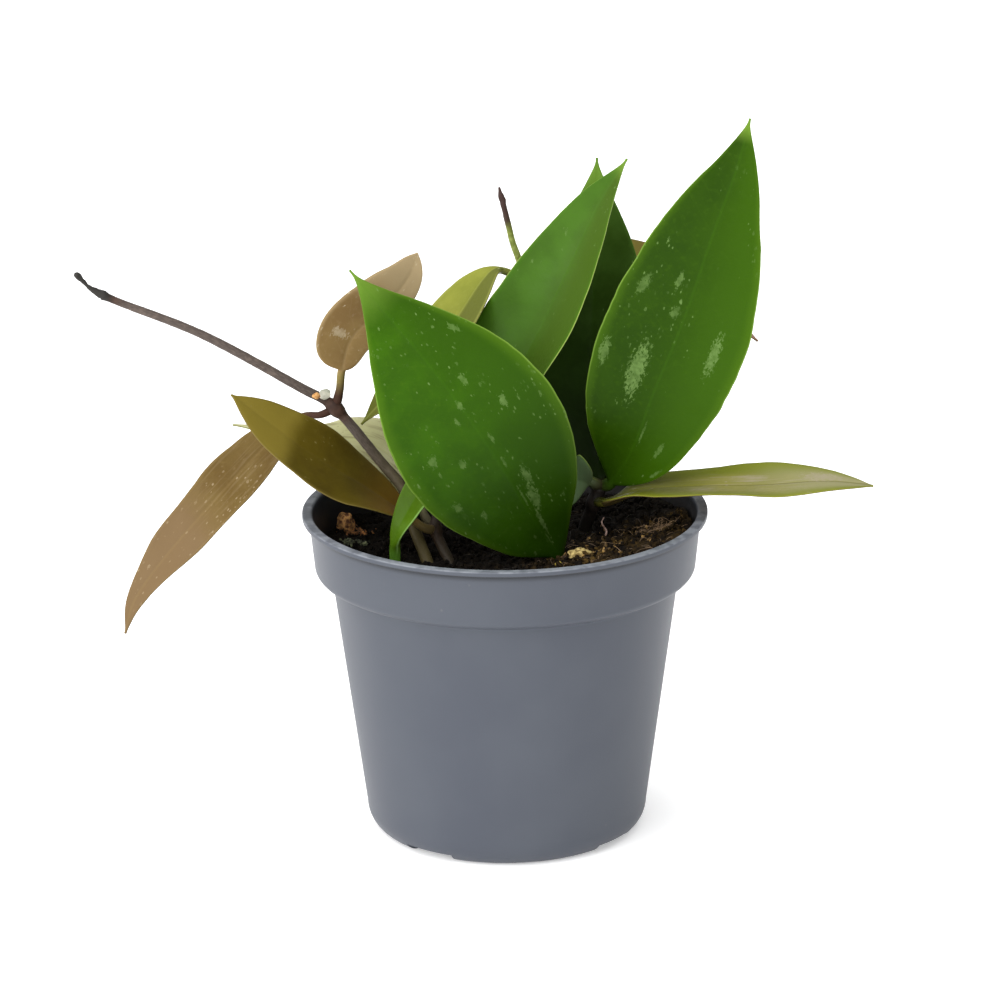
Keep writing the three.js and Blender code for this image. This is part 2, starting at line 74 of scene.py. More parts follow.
DRAIN_HOLES = 8
DRAIN_RADIUS = 3
DRAIN_CIRCLE = 22
DRAIN_ENDS = (1.5, 6)
INNER_FOOT_ROUND = (4.2, 5)
POT_SIDES = 288
POT_COLOUR = "#40444d"
POT_PALE = "#464a52"
POT_DUST = "#6b6a67"
# Darker inside of the collar, painted highlight on the lip's top face, painted shade under the lip
POT_INSIDE_DARK = "#1d1916"
POT_RIM_HIGHLIGHT = "#7c8087"
POT_LIP_SHADE = "#1f2022"


def linear(colour):
    """sRGB hex to linear: below 0.04045 a straight line, above it a power of 2.4."""
    levels = [int(colour[i:i + 2], 16) / 255 for i in (1, 3, 5)]
    bright = [c / 12.92 if c < 0.04045 else ((c + 0.055) / 1.055) ** 2.4 for c in levels]
    return (*bright, 1.0)


def add(tree, kind, *values, output=None, **named):
    """Adds a node, and returns its output of that name or else the first one in use.

    The values, plain ones or other nodes' outputs, go to the inputs in use, in their order. Of the named
    ones, those in lower case are settings, and those with a capital go to the input of that name. A Mix
    blends two colours, and a MapRange is a smooth step.
    """
    usual = {"Mix": {"data_type": "RGBA"}, "MapRange": {"interpolation_type": "SMOOTHSTEP"}}
    node = tree.nodes.new("ShaderNode" + kind)
    for name, value in {**usual.get(kind, {}), **named}.items():
        if name.islower():
            setattr(node, name, value)
    given = list(zip([socket for socket in node.inputs if socket.enabled], values))
    given += [(node.inputs[name.replace("_", " ")], named[name]) for name in named if not name.islower()]
    for socket, value in given:
        if isinstance(value, bpy.types.NodeSocket):
            tree.links.new(value, socket)
        else:
            socket.default_value = value
    if output:
        return node.outputs[output]
    return next((socket for socket in node.outputs if socket.enabled), None)


def start_material(name):
    """An empty material with its node tree."""
    material = bpy.data.materials.new(name)
    material.use_nodes = True
    material.node_tree.nodes.clear()
    return material, material.node_tree


def mesh_piece(name, points, faces, material, smooth=40):
    """A mesh object at the origin, from points in millimetres, with edges sharper than smooth kept."""
    mesh = bpy.data.meshes.new(name)
    mesh.from_pydata((np.asarray(points) * MM).tolist(), [], faces)
    mesh.polygons.foreach_set("use_smooth", np.ones(len(mesh.polygons), bool))
    mesh.set_sharp_from_angle(angle=math.radians(smooth))
    mesh.materials.append(material)
    mesh.validate()
    piece = bpy.data.objects.new(name, mesh)
    bpy.context.scene.collection.objects.link(piece)
    return piece


def skin_faces(rings, count, mirrored=False):
    """Quads between neighbouring rings of count points and a fan to one pole point at each end.

    The rings run anticlockwise as seen from the last one. mirrored splits the quads of the second half
    of each ring the other way, so that both faces of a thin blade bend alike.
    """
    i, j = np.meshgrid(np.arange(rings - 1), np.arange(count), indexing="ij")
    a = i * count + j
    b = i * count + (j + 1) % count
    c, d = b + count, a + count
    if mirrored:
        lower = (j >= count // 2)[..., None]
        one = np.where(lower, np.stack([a, b, d], -1), np.stack([a, b, c], -1))
        two = np.where(lower, np.stack([b, c, d], -1), np.stack([a, c, d], -1))
        faces = np.concatenate([one.reshape(-1, 3), two.reshape(-1, 3)]).tolist()
    else:
        faces = np.stack([a, b, c, d], -1).reshape(-1, 4).tolist()
    ring = np.arange(count)
    after = (ring + 1) % count
    first, last = rings * count, (rings - 1) * count
    faces += np.stack([np.full(count, first), after, ring], -1).tolist()
    faces += np.stack([np.full(count, first + 1), last + ring, last + after], -1).tolist()
    return faces


def rounded(outline, steps=5):
    """Profile of (r, z, round) corners: each corner with a round is a curve between the two points at that
    distance before and after it, bent towards the corner."""
    corners = np.array([p[:2] for p in outline], float)
    out = []
    for index, (r, z, size) in enumerate(outline):
        here = corners[index]
        if size == 0:
            out.append(here)
            continue
        before = corners[index - 1] - here
        after = corners[index + 1] - here
        start = here + before * min(0.45, size / np.hypot(*before))
        end = here + after * min(0.45, size / np.hypot(*after))
        t = np.linspace(0, 1, steps)[:, None]
        out.extend((1 - t) ** 2 * start + 2 * t * (1 - t) * here + t ** 2 * end)
    return np.array(out)


def quarter(r, z, reach, rise, steps=12):
    """Quarter ellipse from pointing outwards to pointing up, as unrounded corners."""
    turn = np.linspace(0, np.pi / 2, steps)
    return [(r + reach * np.sin(t), z + rise * (1 - np.cos(t)), 0) for t in turn]


def ring_points(radius, height, turns):
    """Points at each height and radius (rows) and each turn in radians (columns)."""
    x = radius * np.cos(turns)
    y = radius * np.sin(turns)
    return np.stack([x, y, np.broadcast_to(height, x.shape)], -1)


def keep_cut(piece, cutter):
    """Takes the cutter's volume out of the piece for good."""
    modifier = piece.modifiers.new("holes", "BOOLEAN")
    modifier.object = cutter
    modifier.solver = "EXACT"
    graph = bpy.context.evaluated_depsgraph_get()
    mesh = bpy.data.meshes.new_from_object(piece.evaluated_get(graph))
    piece.modifiers.clear()
    piece.data = mesh
    bpy.data.objects.remove(cutter)


def moulded_polypropylene():
    """Pigmented polypropylene from a fine-grained mould: satin, with faint drag lines up the wall.

    The inside of the collar is darker, nearly black near the mix. The lip's upper face is paler, a painted
    highlight, and painted shade sits in the corner under the lip.
    """
    material, tree = start_material("moulded_polypropylene")
    place = add(tree, "TexCoord", output="Object")
    drag_place = add(tree, "Mapping", place, Scale=(600, 600, 30))
    drag = add(tree, "TexNoise", drag_place, Scale=0.5, Detail=3)
    cloud = add(tree, "TexNoise", place, Scale=22, Detail=3)
    grain = add(tree, "TexNoise", place, Scale=3500, Detail=2)
    specks = add(tree, "MapRange", add(tree, "TexVoronoi", place, Scale=170), 0.05, 0.11, 0.3, 0)
    dust = add(tree, "Math", specks, add(tree, "MapRange", cloud, 0.6, 0.7), operation="MULTIPLY")
    cloudy = add(tree, "MapRange", cloud, 0.35, 0.7)
    dragged = add(tree, "MapRange", drag, 0.5, 0.8, 0, 0.1)
    # Height above the collar's foot, and depth inwards from the middle of its sloping wall
    x, y, z = add(tree, "SeparateXYZ", place).node.outputs
    above = add(tree, "Math", z, collar_foot_z * MM, operation="SUBTRACT")
    radius = add(tree, "VectorMath", add(tree, "CombineXYZ", x, y), operation="LENGTH")
    slope = (COLLAR_TOP_RADIUS - COLLAR_FOOT_RADIUS) / (COLLAR_HEIGHT - LIP_HEIGHT)
    wall_foot = (COLLAR_FOOT_RADIUS - WALL / 2) * MM
    wall_middle = add(tree, "Math", above, slope, wall_foot, operation="MULTIPLY_ADD")
    depth = add(tree, "Math", wall_middle, radius, operation="SUBTRACT")
    inner = add(tree, "MapRange", depth, 0, 0.3 * MM)
    upper = add(tree, "MapRange", above, -0.5 * MM, 0.5 * MM)
    inside = add(tree, "Math", inner, upper, operation="MULTIPLY")
    # The inside of the collar is darker, nearly black near the mix, with a ragged upper edge that fades out
    # just below the rim
    edge_noise = add(tree, "TexNoise", place, Scale=160, Detail=5)
    ragged = add(tree, "Math", edge_noise, 12 * MM, above, operation="MULTIPLY_ADD")
    inside_dark = add(tree, "MapRange", ragged, 15 * MM, 26 * MM, 0.93, 0.55)
    inside_dark = add(tree, "Math", inside_dark, inside, operation="MULTIPLY")
    rim_fade = add(tree, "MapRange", above, 14.8 * MM, 16.6 * MM, 1, 0.1)
    inside_dark = add(tree, "Math", inside_dark, rim_fade, operation="MULTIPLY")
    # Painted highlight: the lip's upper face is paler where it faces the light above, broken by noise
    rim = add(tree, "MapRange", above, 16.7 * MM, 17.1 * MM)
    highlight_breaks = add(tree, "TexNoise", place, Scale=260, Detail=4)
    highlight_breaks = add(tree, "MapRange", highlight_breaks, 0.35, 0.6, 0.25, 0.8)
    rim_highlight = add(tree, "Math", rim, highlight_breaks, operation="MULTIPLY")
    # Painted shade in the corner under the lip
    lip_shade_low = add(tree, "MapRange", above, 13.2 * MM, 15.2 * MM, 0, 0.75)
    lip_shade_high = add(tree, "MapRange", above, 15.7 * MM, 16 * MM, 1, 0)
    lip_shade = add(tree, "Math", lip_shade_low, lip_shade_high, operation="MULTIPLY")
    colour = linear(POT_COLOUR)
    for share, over in (
            (cloudy, POT_PALE), (dragged, POT_PALE), (dust, POT_DUST), (inside_dark, POT_INSIDE_DARK),
            (rim_highlight, POT_RIM_HIGHLIGHT), (lip_shade, POT_LIP_SHADE)):
        colour = add(tree, "Mix", share, colour, linear(over))
    rough = add(tree, "MapRange", cloud, 0.3, 0.7, 0.42, 0.5)
    bump = add(tree, "Bump", Height=grain, Strength=0.15, Distance=0.2 * MM)
    bump = add(tree, "Bump", Height=drag, Strength=0.04, Distance=0.2 * MM, Normal=bump)
    shader = add(
        tree, "BsdfPrincipled", Base_Color=colour, Roughness=rough, IOR=1.49, Specular_IOR_Level=0.3,
        Normal=bump)
    add(tree, "OutputMaterial", shader)
    return material


lip_foot_z = POT_HEIGHT - LIP_HEIGHT
collar_foot_z = POT_HEIGHT - COLLAR_HEIGHT
shoulder_z = collar_foot_z - SHOULDER_HEIGHT
foot_inner = FOOT_RADIUS - FOOT_RING_WIDTH
inside_wall = [
    *quarter(BODY_FOOT_RADIUS - WALL - INNER_FOOT_ROUND[0], FLOOR_TOP, *INNER_FOOT_ROUND),
    (SHOULDER_RADIUS - WALL, shoulder_z + 0.7, 1),
    (COLLAR_FOOT_RADIUS - 2 * WALL, collar_foot_z - 0.3, 0.8),
    (COLLAR_FOOT_RADIUS - WALL, collar_foot_z + 0.5, 0.6),
    (COLLAR_TOP_RADIUS - WALL, POT_HEIGHT - 0.5, 0.3),
    (COLLAR_TOP_RADIUS - WALL + 0.5, POT_HEIGHT, 0.3),
]
pot_outline = rounded([
    (CENTRE_PAD_RADIUS, 0, 0),
    (CENTRE_PAD_RADIUS + 0.6, FLOOR_RAISE, 0),
    (foot_inner - 0.6, FLOOR_RAISE, 0),
    (foot_inner, 0, 0),
    *quarter(FOOT_RADIUS, 0, BODY_FOOT_RADIUS - FOOT_RADIUS, FOOT_ROUND_HEIGHT),
    (SHOULDER_RADIUS, shoulder_z, 0.8),
    (SHOULDER_RADIUS + 1.2, shoulder_z + 0.8, 0.5),
    (COLLAR_FOOT_RADIUS - 1, collar_foot_z - 1.3, 0.8),
    (COLLAR_FOOT_RADIUS, collar_foot_z, 0.7),
    (COLLAR_TOP_RADIUS, lip_foot_z, 0.4),
    (LIP_RADIUS, lip_foot_z, 0.45),
    (LIP_RADIUS, POT_HEIGHT, 0.45),
    *inside_wall[::-1],
])
notches = []
for number in range(4):
    middle = math.radians(-90 + NOTCH_TURN + 90 * number)
    notches.append((middle, *WIDE_NOTCH))
    notches.append((middle + math.pi / 4, *NARROW_NOTCH))
turns = [np.linspace(0, 2 * np.pi, POT_SIDES, endpoint=False)]
for middle, angle, depth in notches:
    half = math.radians(angle / 2)
    turns.extend(middle + side * half + np.array([-NOTCH_EDGE, NOTCH_EDGE]) for side in (-1, 1))
turns = np.unique(np.mod(np.concatenate(turns), 2 * np.pi))
pot_points = ring_points(pot_outline[:, :1], pot_outline[:, 1:], turns)
ring_zone = ((pot_outline[:, 0] > foot_inner - 1) & (pot_outline[:, 1] < FLOOR_RAISE))[:, None]
for middle, angle, depth in notches:
    away = np.abs(np.angle(np.exp(1j * (turns - middle))))
    inside = ring_zone & (away < math.radians(angle / 2))[None, :]
    pot_points[..., 2] = np.where(inside, np.maximum(pot_points[..., 2], depth), pot_points[..., 2])
pot_points = np.concatenate([pot_points.reshape(-1, 3), [[0, 0, 0], [0, 0, FLOOR_TOP]]])
pot_faces = skin_faces(len(pot_outline), len(turns))
pot = mesh_piece("nursery_pot", pot_points, pot_faces, moulded_polypropylene(), 30)
hole_turns = np.linspace(0, 2 * np.pi, 32, endpoint=False)
hole_points, hole_faces = [], []
for number in range(DRAIN_HOLES):
    middle = math.tau * (number + 0.5) / DRAIN_HOLES
    centre = np.array([DRAIN_CIRCLE * math.cos(middle), DRAIN_CIRCLE * math.sin(middle), 0])
    wall = ring_points(np.full((2, 1), DRAIN_RADIUS), np.array(DRAIN_ENDS)[:, None], hole_turns) + centre
    first = len(hole_points)
    middles = centre + [[0, 0, z] for z in DRAIN_ENDS]
    hole_points.extend(np.concatenate([wall.reshape(-1, 3), middles]))
    hole_faces.extend([[first + corner for corner in face] for face in skin_faces(2, len(hole_turns))])
keep_cut(pot, mesh_piece("drain_holes", hole_points, hole_faces, pot.data.materials[0]))
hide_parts("pot")
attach(pot, "root")

# The potting mix: dark peat with coir fibre, bits of bark and a little clay, filled by hand. It lies low
# at the left and front, climbs the wall at the right, and fits the pot's inside.
SOIL_GAP = 0.3
SOIL_LEVEL = 84.3
SOIL_RISE_RIGHT = 7.5
SOIL_RISE_LEFT = 1.6
SOIL_LUMP = 0.45
SOIL_HOLLOW = (6, -12)
SOIL_HOLLOW_DEPTH = 1.2
SOIL_HOLLOW_REACH = 14
SOIL_SIDES = 300
SOIL_RINGS = 120
SOIL_TOP_WIDER = 0.3
CLOD_DIP = -0.4


def lattice_noise(points, size, seed):
    """Smooth noise from -1 to 1: hashed random values at lattice points of that size, blended between
    neighbours by a smooth step along each axis."""
    places = np.asarray(points, float) / size
    cell = np.floor(places).astype(np.int64)
    step = places - cell
    step = step * step * (3 - 2 * step)
    total = np.zeros(places.shape[:-1])
    for corner in itertools.product((0, 1), repeat=3):
        near = cell + np.array(corner)
        key = near[..., 0] * 73856093 ^ near[..., 1] * 19349663 ^ near[..., 2] * 83492791
        key ^= seed * 2654435761
        key = (key ^ (key >> 13)) * 1274126177 & 0x7FFFFFFF
        value = (key ^ (key >> 9)) % 100003 / 50001.5 - 1
        total += value * np.prod(np.where(np.array(corner) == 1, step, 1 - step), axis=-1)
    return total


def soil_height(x, y):
    """Height of the mix: a level that climbs to both walls, with slow lumps, and a bell-shaped hollow
    behind the front leaf."""
    right = SOIL_RISE_RIGHT * np.maximum(0, (x + 5) / 55) ** 2
    left = SOIL_RISE_LEFT * np.maximum(0, (-x - 20) / 32) ** 2
    small = np.sin(x * 0.61 + 1.3) * np.cos(y * 0.53 - 0.4)
    broad = np.sin(x * 0.37 - y * 0.71 + 2.1)
    away = np.hypot(x - SOIL_HOLLOW[0], y - SOIL_HOLLOW[1]) / SOIL_HOLLOW_REACH
    return SOIL_LEVEL + right + left + SOIL_LUMP * (small + broad) - SOIL_HOLLOW_DEPTH * np.exp(-away * away)


def rough_soil_height(x, y):
    """Soil height with crumbs of 5, 2 and 0.9 mm pressed into it."""
    flat = np.stack([x, y, np.zeros_like(x)], -1)
    clods = 0.9 * np.maximum(CLOD_DIP, lattice_noise(flat, 5, 1)) + 0.45 * lattice_noise(flat, 2.1, 2)
    return soil_height(x, y) + clods + 0.3 * lattice_noise(flat, 0.9, 3)


def sunlit_side(x, y):
    """Share of painted light on top of the mix: 1 on the lit pile at the front right, near 0 in painted
    shade elsewhere.
    """
    return np.clip((0.5 * x - y - 6) / 9, 0.03, 1) * np.clip((x - 2) / 14, 0.05, 1)


def moist_peat():
    """Moist peat: nearly black crumbs with browner fibres, dull, in grains of about 1 mm."""
    material, tree = start_material("moist_peat")
    place = add(tree, "TexCoord", output="Object")
    grains = add(tree, "TexNoise", place, Scale=900, Detail=4, Roughness=0.7)
    clods = add(tree, "TexNoise", place, Scale=180, Detail=3)
    tint = add(tree, "Attribute", attribute_name="tint", output="Fac")
    dark = add(tree, "Mix", add(tree, "MapRange", grains, 0.35, 0.7), linear("#090706"), linear("#1b1610"))
    brown = add(tree, "Mix", add(tree, "MapRange", grains, 0.3, 0.7), linear("#231a0f"), linear("#574420"))
    colour = add(tree, "Mix", add(tree, "MapRange", clods, 0.62, 0.78, 0, 0.2), dark, brown)
    # The tint browns the peat: partly patchy colour, partly painted light on the lit front right, with
    # painted shade elsewhere
    colour = add(tree, "Mix", tint, colour, brown)
    bump = add(tree, "Bump", Height=grains, Strength=0.8, Distance=0.6 * MM)
    shader = add(
        tree, "BsdfPrincipled", Base_Color=colour, Roughness=0.95, IOR=1.35, Specular_IOR_Level=0.15,
        Normal=bump)
    add(tree, "OutputMaterial", shader)
    return material


def store(piece, name, values):
    """Stores a number or a vector for each point, which the materials read by that name."""
    values = np.asarray(values, np.float32)
    kind, key = ("FLOAT", "value") if values.ndim == 1 else ("FLOAT_VECTOR", "vector")
    piece.data.attributes.new(name, kind, "POINT").data.foreach_set(key, values.ravel())


peat = moist_peat()
soil_turns = np.linspace(0, 2 * np.pi, SOIL_SIDES, endpoint=False)
soil_corners = [(r - SOIL_GAP, z + SOIL_GAP, size) for r, z, size in inside_wall[:-3]]
soil_edge = (COLLAR_FOOT_RADIUS - WALL - SOIL_GAP, collar_foot_z + 0.5 + SOIL_GAP, 0)
soil_side = rounded(soil_corners + [soil_edge])
side_points = ring_points(soil_side[:, :1], soil_side[:, 1:], soil_turns)
top_radius = soil_edge[0] + SOIL_TOP_WIDER
share = np.linspace(1, 0, SOIL_RINGS, endpoint=False)[:, None]
top_points = ring_points(top_radius * share, np.zeros((SOIL_RINGS, 1)), soil_turns)
top_points[..., 2] = rough_soil_height(top_points[..., 0], top_points[..., 1])
soil_middles = [[0, 0, soil_side[0, 1]], [0, 0, float(rough_soil_height(np.array(0.0), np.array(0.0)))]]
soil_points = np.concatenate([side_points.reshape(-1, 3), top_points.reshape(-1, 3), soil_middles])
soil_faces = skin_faces(len(soil_side) + SOIL_RINGS, SOIL_SIDES)
soil = mesh_piece("potting_mix", soil_points, soil_faces, peat, 80)
patchy = 0.5 + 0.5 * lattice_noise(soil_points, 2.6, 7)
# The tint is patchy colour times painted light: brown on the lit front right, near black in painted shade
# elsewhere
store(soil, "tint", 0.6 * patchy * sunlit_side(soil_points[:, 0], soil_points[:, 1]))
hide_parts("soil")
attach(soil, "root")

# Loose crumbs on top of the mix: broken peat of 1 to 4 mm, which rolled there when the pot was filled.
# They lie as they fell, a few more of them at the right, where the mix is piled up.
CRUMBS = 2600
CRUMB_LEAN = 0.25
random = np.random.default_rng(41)


def crumb_shape():
    """A ball of 18 points and 32 faces: the corners and edge middles of an octahedron, at radius 1."""
    corners = np.array([[1, 0, 0], [-1, 0, 0], [0, 1, 0], [0, -1, 0], [0, 0, 1], [0, 0, -1]], float)
    points, faces, middles = list(corners), [], {}

    def middle(p, q):
        key = (min(p, q), max(p, q))
        if key not in middles:
            middles[key] = len(points)
            between = corners[p] + corners[q]
            points.append(between / np.linalg.norm(between))
        return middles[key]

    for x, y, z in itertools.product((0, 1), (2, 3), (4, 5)):
        a, b, c = (x, y, z) if (x + y + z) % 2 == 0 else (x, z, y)
        ab, bc, ca = middle(a, b), middle(b, c), middle(c, a)
        faces += [[a, ab, ca], [ab, b, bc], [ca, bc, c], [ab, bc, ca]]
    return np.array(points), np.array(faces)


def random_turns(count):
    """Random rotation matrices, from normalised random quaternions."""
    q = random.normal(size=(count, 4))
    w, x, y, z = (q / np.linalg.norm(q, axis=1, keepdims=True)).T
    return np.stack([
        1 - 2 * (y * y + z * z), 2 * (x * y - w * z), 2 * (x * z + w * y),
        2 * (x * y + w * z), 1 - 2 * (x * x + z * z), 2 * (y * z - w * x),
        2 * (x * z - w * y), 2 * (y * z + w * x), 1 - 2 * (x * x + y * y)], -1).reshape(count, 3, 3)


def scatter(count, reach, lean):
    """Random places inside a circle of that reach; lean from 0 to 1 draws them to the right."""
    turn = random.uniform(0, math.tau, count)
    radius = reach * np.sqrt(random.uniform(0, 1, count))
    x, y = radius * np.cos(turn), radius * np.sin(turn)
    swap = (x < 0) & (random.uniform(0, 1, count) < lean)
    return np.where(swap, -x, x), y


def scattered_crumbs(name, x, y, sizes, material, tints):
    """One mesh of crumbs at the given places: balls of 32 faces, dented, stretched and turned at random."""
    shape, faces = crumb_shape()
    count = len(x)
    points = shape * (1 + 0.28 * random.normal(size=(count, len(shape), 1))).clip(0.5, 1.6)
    points = points * sizes[:, None, None] / 2 * random.uniform(0.6, 1.25, (count, 1, 3))
    points = np.einsum("nij,nkj->nki", random_turns(count), points)
    points += np.stack([x, y, soil_height(x, y) + 0.25 * sizes], -1)[:, None, :]
    all_faces = (faces[None] + (np.arange(count) * len(shape))[:, None, None]).reshape(-1, 3)
    piece = mesh_piece(name, points.reshape(-1, 3), all_faces.tolist(), material, 50)
    store(piece, "tint", np.repeat(tints, len(shape)))
    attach(piece, "root")


crumb_x, crumb_y = scatter(CRUMBS, top_radius - 1.6, CRUMB_LEAN)
crumb_sizes = 0.9 + 2.6 * random.beta(1.3, 5, CRUMBS)
# Painted light: crumbs brown only on the lit front right, near black in painted shade elsewhere
crumb_tints = random.uniform(0, 1, CRUMBS) ** 2 * sunlit_side(crumb_x, crumb_y)
scattered_crumbs("peat_crumbs", crumb_x, crumb_y, crumb_sizes, peat, crumb_tints)

# Coir in the mix: thin reddish husk fibres of 1 to 5 mm, which lie loose across it, most of them at the
# right. A tuft of paler ones stands at the right wall.
FIBRES = 340
FIBRE_LEAN = 0.7
TUFT_FIBRES = 70
TUFT_PLACE = (45.5, 3)
TUFT_SPREAD = (2.2, 2.4)


def coir_fibre():
    """Coir: thin reddish-brown husk fibre, dull, with a little colour change from one to the next."""
    material, tree = start_material("coir_fibre")
    tint = add(tree, "Attribute", attribute_name="tint", output="Fac")
    streaks = add(tree, "TexNoise", add(tree, "TexCoord", output="Object"), Scale=700, Detail=3)
    # The tint runs from near black to brown: for the laid fibres that is painted light on the lit front
    # right and painted shade elsewhere, for the tuft a random change
    colour = add(tree, "Mix", tint, linear("#100b07"), linear("#8a6f50"))
    colour = add(tree, "Mix", add(tree, "MapRange", streaks, 0.55, 0.75, 0, 0.2), colour, linear("#8c7344"))
    bump = add(tree, "Bump", Height=streaks, Strength=0.5, Distance=0.2 * MM)
    shader = add(tree, "BsdfPrincipled", Base_Color=colour, Roughness=0.8, IOR=1.5, Normal=bump)
    add(tree, "OutputMaterial", shader)
    return material


def laid_fibres(name, x, y, lengths, radii, tints, material):
    """Thin tubes of 4 sides, laid on the mix and narrowing to both ends: each follows a flat curve whose
    direction turns at an even random rate, with a low random arch."""
    count, steps, sides = len(x), 9, 4
    t = np.linspace(0, 1, steps)[None, :]
    heading = random.uniform(0, math.tau, (count, 1)) + random.normal(0, 0.7, (count, 1)) * t
    step = lengths[:, None] / (steps - 1)
    px = x[:, None] + np.cumsum(step * np.cos(heading), axis=1)
    py = y[:, None] + np.cumsum(step * np.sin(heading), axis=1)
    out = np.maximum(1, np.hypot(px, py) / (top_radius - 1.2))
    px, py = px / out, py / out
    arch = random.uniform(0.1, 0.9, (count, 1)) * np.sin(np.pi * t) + random.uniform(0.2, 0.8, (count, 1))
    centres = np.stack([px, py, soil_height(px, py) + arch], -1)
    along = np.gradient(centres, axis=1)
    along /= np.linalg.norm(along, axis=-1, keepdims=True) + 1e-9
    side = np.cross(along, [0, 0, 1.0])
    side /= np.linalg.norm(side, axis=-1, keepdims=True) + 1e-9
    up = np.cross(side, along)
    angle = np.linspace(0, 2 * np.pi, sides, endpoint=False)[None, None, :, None]
    girth = (radii[:, None] * (0.35 + 0.65 * np.sin(np.pi * t) ** 0.5))[..., None, None]
    rings = centres[:, :, None] + girth * (np.cos(angle) * side[:, :, None] + np.sin(angle) * up[:, :, None])
    points = np.concatenate([rings.reshape(count, -1, 3), centres[:, :1], centres[:, -1:]], axis=1)
    faces = skin_faces(steps, sides)
    size = points.shape[1]
    all_faces = [[corner + size * n for corner in face] for n in range(count) for face in faces]
    piece = mesh_piece(name, points.reshape(-1, 3), all_faces, material, 80)
    store(piece, "tint", np.repeat(tints, size))
    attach(piece, "root")


coir = coir_fibre()
fibre_x, fibre_y = scatter(FIBRES, top_radius - 4, FIBRE_LEAN)
# Painted light: fibres brown on the lit front right, near black in painted shade elsewhere
fibre_tints = random.uniform(0.1, 0.8, FIBRES) * sunlit_side(fibre_x, fibre_y)
laid_fibres(
    "coir_fibres", fibre_x, fibre_y, random.uniform(1, 5.5, FIBRES), random.uniform(0.04, 0.12, FIBRES),
    fibre_tints, coir)
tuft_x = random.normal(TUFT_PLACE[0], TUFT_SPREAD[0], TUFT_FIBRES)
tuft_y = random.normal(TUFT_PLACE[1], TUFT_SPREAD[1], TUFT_FIBRES)
laid_fibres(
    "coir_tuft", tuft_x, tuft_y, random.uniform(2, 5, TUFT_FIBRES), random.uniform(0.05, 0.1, TUFT_FIBRES),
    random.uniform(0.6, 1, TUFT_FIBRES), coir)

# Heaps of other crumbs: grey-green rotted moss and orange bark dust by the left wall, and golden grit on
# the pile at the front right. They are dry and dusty, and lie loose on the mix.
HEAPS = (
    ("mossy_clump", (-45.5, 5.5), 1.6, 46, (0.7, 1.9), ("mossy_grit", "#171a0e", "#6f7452")),
    ("bark_crumbs", (-45.5, 17.5), 2.2, 46, (0.6, 1.6), ("bark_grit", "#3f2614", "#c4864c")),
    ("golden_crumbs", (32, -6), 9, 110, (0.4, 1.6), ("golden_grit", "#2a1c0d", "#a37f42")),
)


def dusty_grit(name, dark, pale):
    """Dry plant stuff, dull and dusty, as rotted moss, bark dust, grit or a dead root: two colours in grains
    of about 1 mm, the dark one alone where the tint is 0."""
    material, tree = start_material(name)
    grains = add(tree, "TexNoise", add(tree, "TexCoord", output="Object"), Scale=1100, Detail=4)
    tint = add(tree, "Attribute", attribute_name="tint", output="Fac")
    share = add(tree, "Math", add(tree, "MapRange", grains, 0.35, 0.65), tint, operation="MULTIPLY")
    colour = add(tree, "Mix", share, linear(dark), linear(pale))
    bump = add(tree, "Bump", Height=grains, Strength=0.7, Distance=0.4 * MM)
    shader = add(tree, "BsdfPrincipled", Base_Color=colour, Roughness=0.85, IOR=1.5, Normal=bump)
    add(tree, "OutputMaterial", shader)
    return material


for name, (middle_x, middle_y), spread, count, (smallest, largest), grit in HEAPS:
    heap_x = middle_x + random.normal(0, spread, count)
    heap_y = middle_y + random.normal(0, spread, count)
    heap_sizes = random.uniform(smallest, largest, count)
    heap_tints = random.uniform(0.2, 1, count)
    scattered_crumbs(name, heap_x, heap_y, heap_sizes, dusty_grit(*grit), heap_tints)

# A pale dry root as thick as a thread, which runs down the slope of the mix in front of the right stem.
# It is a leftover in the mix and lies loose on it.
ROOT_RADIUS = 0.3
ROOT_SIDES = 6
ROOT_TINT = 0.9
ROOT_PATH = [[29.6, 12, 91.2], [28.9, 9.5, 90.2], [30.2, 6, 88.6], [29.3, 3, 87.2], [30.1, 0.5, 86.6]]


def unit(vectors):
    """Each vector at length 1."""
    return vectors / np.linalg.norm(vectors, axis=-1, keepdims=True)


def curve_through(path, fine=400):
    """Uniform Catmull-Rom curve through the points, mirrored past both ends: (arc lengths, points)."""
    knots = np.array(path, float)
    knots = np.concatenate([[2 * knots[0] - knots[1]], knots, [2 * knots[-1] - knots[-2]]])
    t = np.linspace(0, 1, fine, endpoint=False)[:, None]
    spans = []
    for p0, p1, p2, p3 in zip(knots, knots[1:], knots[2:], knots[3:]):
        bend = (2 * p0 - 5 * p1 + 4 * p2 - p3) * t ** 2 + (3 * p1 - p0 - 3 * p2 + p3) * t ** 3
        spans.append(0.5 * (2 * p1 + (p2 - p0) * t + bend))
    points = np.concatenate(spans + [knots[-2:-1]])
    lengths = np.concatenate([[0], np.cumsum(np.linalg.norm(np.diff(points, axis=0), axis=1))])
    return lengths, points


def along_curve(curve, places):
    """Points and unit directions of the curve at those arc lengths."""
    lengths, points = curve
    at = np.stack([np.interp(places, lengths, points[:, k]) for k in range(3)], -1)
    near = 0.05
    ahead = np.stack([np.interp(places + near, lengths, points[:, k]) for k in range(3)], -1)
    behind = np.stack([np.interp(places - near, lengths, points[:, k]) for k in range(3)], -1)
    return at, unit(ahead - behind)


